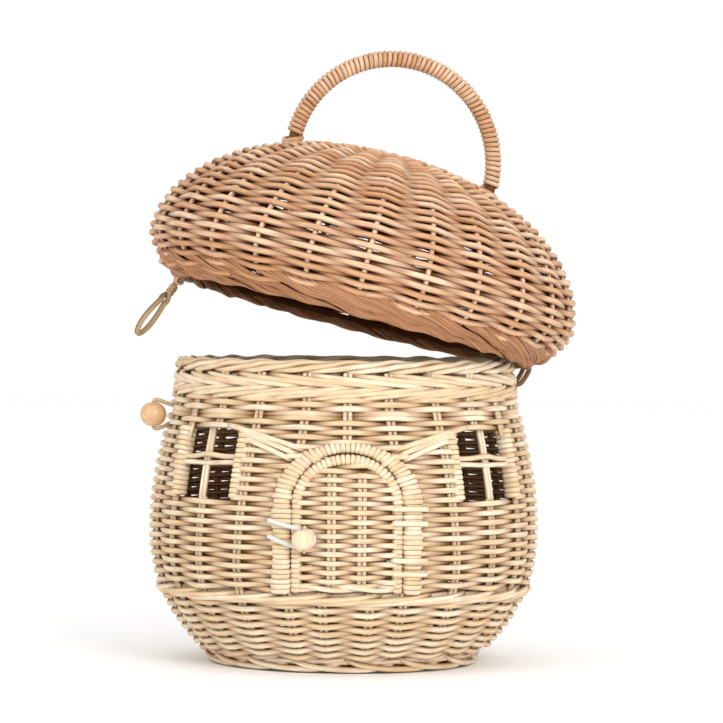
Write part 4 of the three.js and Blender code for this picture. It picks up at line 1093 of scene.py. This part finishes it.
# %% Turning pieces with the lid
LID_OPEN, HINGE_AZIMUTH = 14.3, 100
LIP_RING_RADIUS, LIP_RADIUS = 103.5086, 4.5
CLOSED_LIP_HEIGHT = 169.9935
PIVOT_RADIUS, PIVOT_HEIGHT = 105.0086, 170.9935
LID_PIVOT = around(HINGE_AZIMUTH, PIVOT_RADIUS, PIVOT_HEIGHT)
HINGE_OUT = around(HINGE_AZIMUTH, 1, 0)
HINGE_AXIS = around(HINGE_AZIMUTH + 90, 1, 0)
LID_TURN = np.array(Matrix.Rotation(np.radians(LID_OPEN), 3, Vector(HINGE_AXIS)))


def opened(points):
    """From the lid's own frame, with its lip on zero height, to the open lid's place."""
    return LID_PIVOT + (points + CLOSED_LIP_HEIGHT * UP - LID_PIVOT) @ LID_TURN.T


def on_lid(bundles):
    """The same bundles with all their points turned."""
    return [{**bundle, "points": opened(bundle["points"])} for bundle in bundles]


# %% [markdown]
# ## The cap
# A mushroom cap: from the lip it curls out and up to its widest line, then a low dome closes it. It has 24
# single stakes, and its weavers are thicker than the pot's. The rows aren't packed as tightly, so light
# comes through between some of them.

# %% The cap's outline
CAP_RADIUS, CAP_WIDEST_HEIGHT, CAP_HEIGHT = 127.3086, 24.4, 101
CURL_START_RADIUS, CURL_START_HEIGHT = 108.2357, 3.6665
CURL_POWER, DOME_POWER, CURL_POINTS = 1.52, 2.07, 240
curl_down = np.cos(np.pi / 2 * np.linspace(0, 1, CURL_POINTS))
curl_out = (1 - curl_down ** CURL_POWER) ** (1 / CURL_POWER)
curl_r = CURL_START_RADIUS + (CAP_RADIUS - CURL_START_RADIUS) * curl_out
curl_z = CAP_WIDEST_HEIGHT - (CAP_WIDEST_HEIGHT - CURL_START_HEIGHT) * curl_down
dome_r = CAP_RADIUS * np.cos(np.linspace(0, np.pi / 2, 500)[1:])
dome_up = np.sqrt(1 - (dome_r / CAP_RADIUS) ** DOME_POWER)
dome_z = CAP_WIDEST_HEIGHT + (CAP_HEIGHT - CAP_WIDEST_HEIGHT) * dome_up
CAP = outline_of(np.concatenate([curl_r, dome_r]), np.concatenate([curl_z, dome_z]))
CURL_LENGTH = float(CAP[0, CURL_POINTS - 1])
print("cap outline:", round(CAP[0, -1], 1), "mm, of which curl", round(CURL_LENGTH, 1))

# %% The cap's weave
CAP_MIDDLE, CAP_PITCH = -4, 3.05
cap_stakes = stake_places(0.8)


def cap_length(r):
    """The length along the cap's outline where the dome has that radius."""
    dome = CAP[:, CURL_POINTS - 1 :]
    return float(np.interp(-r, -dome[1], dome[0]))


def cap_rows(low, high, first):
    """Rows of the cap between two lengths. Row numbers run on from piece to piece so the pattern does too."""
    count = int(round((high - low) / CAP_PITCH))
    lengths = low + (np.arange(count) + 0.5) * (high - low) / count
    return [ring_of_weave(CAP, length, row + first, cap_stakes, CAP_MIDDLE,
                          radius=1.65, swing=2.35, wander=0.42)
            for row, length in enumerate(lengths)]


def cap_rods(low, high, step=1, radius=1.65):
    """The cap's single stakes between two lengths, every one or every second one."""
    azimuths = cap_stakes[STAKES : 2 * STAKES : step]
    return stakes(CAP, low, high, azimuths, CAP_MIDDLE + 0.3, 0, radius, darkest=0.1)


CURL_WEAVE_START, CROWN_RADIUS, CROWN_INNER = 9.0, 40, 24
dome_start, crown_start = CURL_LENGTH, cap_length(CROWN_RADIUS)
curl_rings = cap_rows(CURL_WEAVE_START, dome_start, 0)
dome_rings = cap_rows(dome_start, crown_start, len(curl_rings))

# %% [markdown]
# At the latch the weave comes down further than elsewhere. Two short rows, one under the other, fill that
# place, and each is shorter than the one above it.

# %% Short rows at the latch, and the cap's pieces
# Each short row: how many rows down, half its length in degrees, and its side at the first stake.
SHORT_ROWS = ((0.5, 57, 1), (1.5, 40, -1))
low_rows = [weaver(CAP, CURL_WEAVE_START - rows * CAP_PITCH, LATCH_AZIMUTH - half, LATCH_AZIMUTH + half,
                   flip, cap_stakes, CAP_MIDDLE + 2.3, radius=1.6, swing=2.3, wander=0.3)
            for rows, half, flip in SHORT_ROWS]
place("curl_weave", on_lid(curl_rings + low_rows + [cap_rods(0.5, dome_start)]), TAN, "lid", ["cap_curl"])
place("dome_weave", on_lid(dome_rings + [cap_rods(dome_start, crown_start)]), TAN, "lid", ["cap_dome"])

# %% [markdown]
# ## The crown
# Towards the middle the stakes come too close for the weave. The maker drops every second one and goes on
# round the other twelve, until a few tight turns close the top.

# %% Crown
CROWN_TIP = 1.6


def crown_rows(outer, inner, every, first, swing):
    """Rings between two radii that pass over and under every stake or every second one. Their relief follows
    the wave, so the finish paints shade where they pass under.
    """
    places = cap_stakes[::every]
    numbers = np.arange(len(places)) - STAKES / every
    azimuth = np.linspace(0, 360 + STEP, 160)
    start, end = cap_length(outer), cap_length(inner)
    count = int(round((end - start) / CAP_PITCH))
    rings = []
    for row in range(count):
        length = start + (row + 0.5) * (end - start) / count
        wave = side_of(row + first) * over_under(np.interp(azimuth, places, numbers))
        path, out = on_wall(CAP, length + slow_waves(azimuth, 0.25), azimuth, CAP_MIDDLE + swing * wave)
        rings.append(swept(path, out, 1.55, tone=RNG.uniform(0, 1), relief=(wave + 1) / 2))
    return rings


crown = crown_rows(CROWN_RADIUS, CROWN_INNER, 1, len(dome_rings), 2.2)
crown += crown_rows(CROWN_INNER, CROWN_TIP, 2, 0, 1.8)
crown.append(cap_rods(crown_start, cap_length(CROWN_INNER - 3)))
crown.append(cap_rods(cap_length(CROWN_INNER - 3), cap_length(2.0), 2, 1.3))
place("crown_weave", on_lid(crown), TAN, "lid", ["cap_crown"])

# %% [markdown]
# ## The lip
# The stakes of the cap end here. Each is split into fine strands that run down and to the right as a bundle,
# round the lip and up inside it. The bundles overlap, so the lower edge is scalloped.

# %% Lip bundles
LIP_BUNDLES, LIP_STRANDS, LIP_SPAN, LIP_SPACING = 24, 6, 52, 2.3
LIP_STRAND_RADIUS, LIP_STEPS = 0.84, 44


def lip_outline():
    """From the curl's outside round the lip ring and up inside it. It runs downwards on the outside, so its
    outward direction is turned round."""
    outside = np.linspace(14.5, 0.6, 12)
    turn = np.radians(np.linspace(-15, -205, 18))
    r = np.concatenate([np.interp(outside, CAP[0], CAP[1]), LIP_RING_RADIUS + LIP_RADIUS * np.cos(turn)])
    z = np.concatenate([np.interp(outside, CAP[0], CAP[2]), LIP_RADIUS + LIP_RADIUS * np.sin(turn)])
    outline = outline_of(r, z)
    outline[3:] *= -1
    return outline


def lip_bundles():
    """A strand goes down the lip's outline while it goes round by the span; beside each other the strands
    stand apart along the lip. The middle ones of a bundle stand out a little, and a cosine of the azimuth
    makes the scallops. The relief falls off at both ends and further inside the lip, which gives painted
    shade there."""
    outline = lip_outline()
    share = np.linspace(0, 1, LIP_STEPS)
    beside = np.arange(LIP_STRANDS) - (LIP_STRANDS - 1) / 2
    start = (np.arange(LIP_BUNDLES) + RNG.uniform(-0.1, 0.1, LIP_BUNDLES)) * 360 / LIP_BUNDLES
    start = (start[:, None] + beside * LIP_SPACING).ravel()[:, None]
    scallop = np.cos(np.radians(LIP_BUNDLES) * (LIP_SPAN * share + beside[:, None] * LIP_SPACING))
    swell = np.tile(0.9 * (1 - (beside / 3) ** 2)[:, None] + 0.75 * scallop, (LIP_BUNDLES, 1))
    out_share = 1 - np.abs(2 * share - 1) ** 4
    azimuth = start + LIP_SPAN * share + RNG.uniform(-0.4, 0.4, start.shape)
    proud = -LIP_STRAND_RADIUS + swell * out_share - 3.2 * (1 - out_share)
    proud = proud + RNG.uniform(-0.55, 0.15, start.shape)
    path, out = on_wall(outline, share * outline[0, -1], azimuth, proud)
    bundle_tone = np.repeat(RNG.uniform(0, 0.3, LIP_BUNDLES), LIP_STRANDS)[:, None]
    tone = bundle_tone + RNG.uniform(0, 0.7, start.shape)
    # Painted shade: the relief is low at both ends of a strand and falls further inside the lip.
    relief = (0.4 + 0.6 * out_share) * (1 - 0.6 * np.clip((share - 0.6) / 0.15, 0, 1))
    return swept(path, out, LIP_STRAND_RADIUS, tone=tone, relief=relief)


def hoop(r, z, radius, count=144):
    """A closed ring of cane round the axis. Its low relief of 0.4 gives it painted shade."""
    azimuth = np.arange(count) * 360 / count
    return swept(around(azimuth, r, z), around(azimuth, 1, 0), radius, loop=True, relief=0.4)


lip = [lip_bundles(), hoop(LIP_RING_RADIUS, LIP_RADIUS, 3.0), hoop(CURL_START_RADIUS, LIP_RADIUS + 2.2, 1.5)]
place("lip_bundles", on_lid(lip), DARK, "lid", ["lip_border"])

# %% [markdown]
# ## The handle
# A stout rod bends over the cap and goes through it at both ends. A flat strip of peel is wound round it turn
# beside turn. Its centre line is the rod's own line plus a small circle square to it, so the winding is one
# formula of the distance along the rod.

# %% Handle
HANDLE_RADIUS, HANDLE_FOOT_RISE, HANDLE_CORE_RADIUS, HANDLE_TAIL = 60, 3.5, 3.1, 20
FOOT_HEIGHT = float(np.interp(cap_length(HANDLE_RADIUS), CAP[0], CAP[2]))
ARCH_HEIGHT = FOOT_HEIGHT + HANDLE_FOOT_RISE


def near_arch(angle, out, aside):
    """A point by the half circle: out from its centre, and aside square to its plane."""
    angle, out, aside = np.broadcast_arrays(angle, out, aside)
    across = -(HANDLE_RADIUS + out) * np.cos(angle)
    flat = across[..., None] * HINGE_OUT + aside[..., None] * HINGE_AXIS
    return flat + np.stack([0 * angle, 0 * angle, ARCH_HEIGHT + (HANDLE_RADIUS + out) * np.sin(angle)], -1)


arch = near_arch(np.linspace(0, np.pi, 60), 0, 0)
leg = np.linspace(-HANDLE_TAIL - HANDLE_FOOT_RISE, -2, 5)[:, None] * UP
core_path = np.concatenate([arch[0] + leg, arch, arch[-1] + leg[::-1]])
core = swept(core_path, HINGE_AXIS, HANDLE_CORE_RADIUS, sides=12, tone=0.6, relief=0.8)
place("handle_rod", on_lid([core]), TAN, "lid", ["handle_core"])

# %% The handle's winding
PEEL_TURNS, PEEL_STEPS, PEEL_REACH, PEEL_MARGIN = 66, 12, 3.85, 0.008


def peel():
    """The strip's centre goes round the rod in a circle while the angle along the arch grows. Its width lies
    along the arch, and two slow waves shift the turns a little, as a hand does."""
    share = np.linspace(PEEL_MARGIN, 1 - PEEL_MARGIN, PEEL_TURNS * PEEL_STEPS)
    angle = np.pi * share
    turn = 2 * np.pi * PEEL_TURNS * share
    wander = 0.12 * np.sin(turn / 7) + 0.1 * np.sin(turn / 17 + 1)
    path = near_arch(angle + wander / HANDLE_RADIUS, PEEL_REACH * np.cos(turn), PEEL_REACH * np.sin(turn))
    tone = 0.5 + 0.3 * np.sin(turn / 23) + 0.2 * np.sin(turn / 3.1)
    return swept(path, path - near_arch(angle, 0, 0), 1.36, 1.1, sides=10, tone=tone, relief=0.76)


place("handle_peel", on_lid([peel()]), TAN, "lid", ["handle_wrapping"])

# %% The handle's feet
COLLAR_TURNS, COLLAR_RADIUS, UPPER_LAYER = 2.4, 4.6, slice(20, 60)


def collar(side):
    """Peel rolled round a foot of the handle: turns that climb and widen as a spiral, tilted with the dome,
    and a second layer over their middle."""
    foot = side * HANDLE_RADIUS * HINGE_OUT + FOOT_HEIGHT * UP
    turn = np.linspace(0, 2 * np.pi * COLLAR_TURNS, 90)
    r = COLLAR_RADIUS + 0.10 * turn / np.pi + 0.5 * np.sin(turn / 2) ** 2
    tilt = side * 0.35 * r * np.cos(turn - np.radians(10))
    z = -2.6 + 4.4 * turn / turn[-1] - tilt
    ring = foot + np.stack([r * np.cos(turn), r * np.sin(turn), z], -1)
    facing = np.stack([np.cos(turn), np.sin(turn), 0 * turn], -1)
    layer = ring[UPPER_LAYER] + 1.5 * UP
    return [swept(ring, facing, 1.35, 0.85, tone=0.7),
            swept(layer, facing[UPPER_LAYER], 1.25, 0.85, tone=0.3)]


for name, side in (("left", -1), ("right", 1)):
    place(f"handle_foot_{name}", on_lid(collar(side)), TAN, "lid", [f"handle_collar_{name}"])

# %% [markdown]
# ## Lid loops
# Three loops join cap and pot, and the cap turns about them. Each is drawn as a line of radius and height
# in its own upright plane, where the strand lies on the real basket.

# %% Loops of the lid
INNER_BOW_MIDDLE, INNER_BOW_RADIUS = (94.5, 169.5), 7.25
lip_at_hinge = opened(LIP_RING_RADIUS * HINGE_OUT + LIP_RADIUS * UP)
lip_r, lip_z = float(lip_at_hinge @ HINGE_OUT), float(lip_at_hinge[2])
fall = np.radians(-54)
outer_line = [(lip_r + reach * np.cos(fall), lip_z + reach * np.sin(fall)) for reach in (3.2, 6.2)]
outer_line += [(107.3, 167.2), (105.4, 164.0), (102.9, 161.0), (99.2, 160.2)]
bow = np.radians(np.linspace(180, 62, 9))
inner_bow = INNER_BOW_MIDDLE + INNER_BOW_RADIUS * np.stack([np.cos(bow), np.sin(bow)], -1)
inner_line = [(89.2, 162.0), (87.25, 165.2), *inner_bow, (lip_r - 4.2, lip_z + 0.6)]
OUTER_BEND = [tuple((LID_PIVOT + lift * UP) * MM) for lift in (-5, 0)]
INNER_BEND = [tuple((LID_PIVOT + reach * HINGE_OUT) * MM) for reach in (-7.5, -4.5)]
lid_loops = [("front", 96, outer_line, OUTER_BEND), ("back", 104, outer_line, OUTER_BEND),
             ("inner", 100, inner_line, INNER_BEND)]
for name, azimuth, line, bend in lid_loops:
    path = around(azimuth, *smooth_path(line, 40).T)
    print_length(f"lid strand {name}", path)
    loop = swept(path, around(azimuth + 90, 1, 0), 1.45, tone=0.3)
    place(f"lid_strand_{name}", [loop], DARKER_TAN, "pot", [f"lid_loop_{name}"], blend=("pot", "lid", *bend))

# %% [markdown]
# ## The latch loop
# A strand is folded in two and bound below the lip, and opens into an eye for the bead. It is drawn flat,
# with x across and y down its length, because its crossing legs and its round eye have short formulas
# there, and is then hung from the lip. The knot that holds it is wound like the bound edges.

# %% Where the latch loop hangs
ANCHOR_RADIUS, LOOP_LEAN, LOOP_TWIST = 2.6, 23.7, 22
LATCH_OUT = around(LATCH_AZIMUTH, 1, 0)
LATCH_ALONG = np.cross(UP, LATCH_OUT)
loop_down = np.sin(np.radians(LOOP_LEAN)) * LATCH_OUT - np.cos(np.radians(LOOP_LEAN)) * UP
loop_twist = np.array(Matrix.Rotation(np.radians(LOOP_TWIST), 3, "Y"))
LOOP_AXES = np.stack([LATCH_ALONG, loop_down, np.cross(LATCH_ALONG, loop_down)], -1) @ loop_twist
anchor = around(LATCH_AZIMUTH, LIP_RING_RADIUS, -ANCHOR_RADIUS - 0.3)


def hanging(points):
    """From the loop's flat frame to the lid's frame."""
    return anchor + points @ LOOP_AXES.T


# %% Latch loop
LEG_START, NECK_END, EYE_MIDDLE = 3.1, 8.5, 28.3
EYE_HALF, NECK_HALF, CROSSING = 9.9, 1.65, 6.5


def loop_path(count=46):
    """One leg of the pair, round the eye and the other leg. Below the neck they cross: both go round the
    middle line by half a turn, as a cosine across and a sine in depth."""
    along = np.linspace(LEG_START, EYE_MIDDLE, count)
    wide = np.clip((along - NECK_END) / (EYE_MIDDLE - NECK_END), 0, 1)
    half = NECK_HALF + (EYE_HALF - NECK_HALF) * np.sin(np.pi / 2 * wide) ** 1.1
    turn = np.pi * np.clip((along - NECK_END) / CROSSING, 0, 1)
    leg = np.stack([half * np.cos(turn), along, 1.5 * np.sin(turn)], -1)
    end = np.linspace(np.pi, 0, 22)[1:-1]
    bottom = np.stack([EYE_HALF * np.cos(end), EYE_MIDDLE + EYE_HALF * np.sin(end), 0 * end], -1)
    return np.concatenate([leg, bottom, (leg * [-1, 1, -1])[::-1]])


loop_line = loop_path()
print_length("latch loop", loop_line)
loop_tone = 0.35 + 0.25 * np.sin(np.arange(len(loop_line)) / 9)
strand = swept(hanging(loop_line), LOOP_AXES[:, 2], 1.6, tone=loop_tone)
place("latch_strand", on_lid([strand]), DARKER_TAN, "latch_loop", ["latch_loop_strand"])

# %% Whipping and knot
whip_down = np.arange(4.7, 9.2, 1.42)
whip_centres = hanging(np.stack([0 * whip_down, whip_down, 0 * whip_down], -1))
whipping = wraps(whip_centres, LOOP_AXES[:, 0], LOOP_AXES[:, 2],
                 half_width=3.95, half_depth=2.3, radius=0.72)
place("latch_whipping", on_lid([whipping]), DARKER_TAN, "latch_loop", ["latch_loop_whipping"])

KNOT_TURNS, KNOT_PITCH, KNOT_HALF_LENGTH = 6, 1.85, 5.0
knot_places = (np.arange(KNOT_TURNS) - (KNOT_TURNS - 1) / 2) * KNOT_PITCH
knot = wraps(anchor + knot_places[:, None] * LATCH_ALONG, LATCH_OUT, UP, ANCHOR_RADIUS, ANCHOR_RADIUS, 0.95)
knot_path = anchor + np.array([[-KNOT_HALF_LENGTH], [0], [KNOT_HALF_LENGTH]]) * LATCH_ALONG
place("latch_knot", on_lid([knot, swept(knot_path, UP, 1.4, tone=0.6)]), TAN, "lid", ["loop_anchor"])

# %% [markdown]
# ## Camera
# The basket is seen from in front, from a little above the pot's rim, by a long lens, so its upright lines
# stay nearly parallel. The focal length is given in pixels, because it was measured on a picture.

# %% Camera
CAMERA_DISTANCE, EYE_HEIGHT, CAMERA_AZIMUTH = 2030, 205, -1.0
YAW, PITCH, ROLL = 0.262, -0.90, 0.6
FOCAL_PIXELS, PICTURE_PIXELS = 3500, 723
scene = bpy.context.scene
camera_data = bpy.data.cameras.new("camera")
camera_data.sensor_width = 36
camera_data.lens = FOCAL_PIXELS / PICTURE_PIXELS * camera_data.sensor_width
camera_data.clip_end = 20
camera = bpy.data.objects.new("camera", camera_data)
camera.location = around(CAMERA_AZIMUTH, CAMERA_DISTANCE, EYE_HEIGHT) * MM
camera_turn = Matrix.Identity(4)
for angle, axis in ((CAMERA_AZIMUTH - YAW, "Z"), (90 + PITCH, "X"), (ROLL, "Z")):
    camera_turn = camera_turn @ Matrix.Rotation(np.radians(angle), 4, axis)
camera.rotation_euler = camera_turn.to_euler()
scene.collection.objects.link(camera)
scene.camera = camera
scene.view_settings.view_transform = "Standard"

# %% [markdown]
# ## Light and floor
# A white surrounding gives soft light from all sides, as in a studio tent. A large lamp at the right front
# models the strands, and a weaker one at the left keeps their shadows open. The floor is plain and pale.

# %% Light
world = bpy.data.worlds.new("studio")
world.use_nodes = True
world.node_tree.nodes["Background"].inputs["Color"].default_value = (1, 1, 1, 1)
world.node_tree.nodes["Background"].inputs["Strength"].default_value = 1.0
scene.world = world


def softbox(name, place_at, aim, size, watts):
    """A square area light that points from one place to another."""
    light = bpy.data.lights.new(name, "AREA")
    light.size, light.energy = size, watts
    lamp = bpy.data.objects.new(name, light)
    lamp.location = place_at
    lamp.rotation_euler = (Vector(aim) - Vector(place_at)).to_track_quat("-Z", "Y").to_euler()
    scene.collection.objects.link(lamp)


softbox("key", (0.8, -1.8, 0.85), (0, 0, 0.13), 0.9, 20)
softbox("fill", (-1.3, -1.4, 0.9), (0, 0, 0.18), 1.2, 7)

# %% Floor
FLOOR_HALF, FLOOR_HEIGHT = 6, -0.0005
floor_corners = [(x * FLOOR_HALF, y * FLOOR_HALF, FLOOR_HEIGHT)
                 for x, y in ((-1, -1), (1, -1), (1, 1), (-1, 1))]
floor_mesh = bpy.data.meshes.new("floor")
floor_mesh.from_pydata(floor_corners, [], [(0, 1, 2, 3)])
floor = bpy.data.objects.new("floor", floor_mesh)
floor_material = bpy.data.materials.new("floor_white")
floor_material.use_nodes = True
floor_shader = floor_material.node_tree.nodes["Principled BSDF"]
floor_shader.inputs["Base Color"].default_value = (0.99, 0.99, 0.99, 1)
floor_shader.inputs["Roughness"].default_value = 1.0
floor_mesh.materials.append(floor_material)
scene.collection.objects.link(floor)
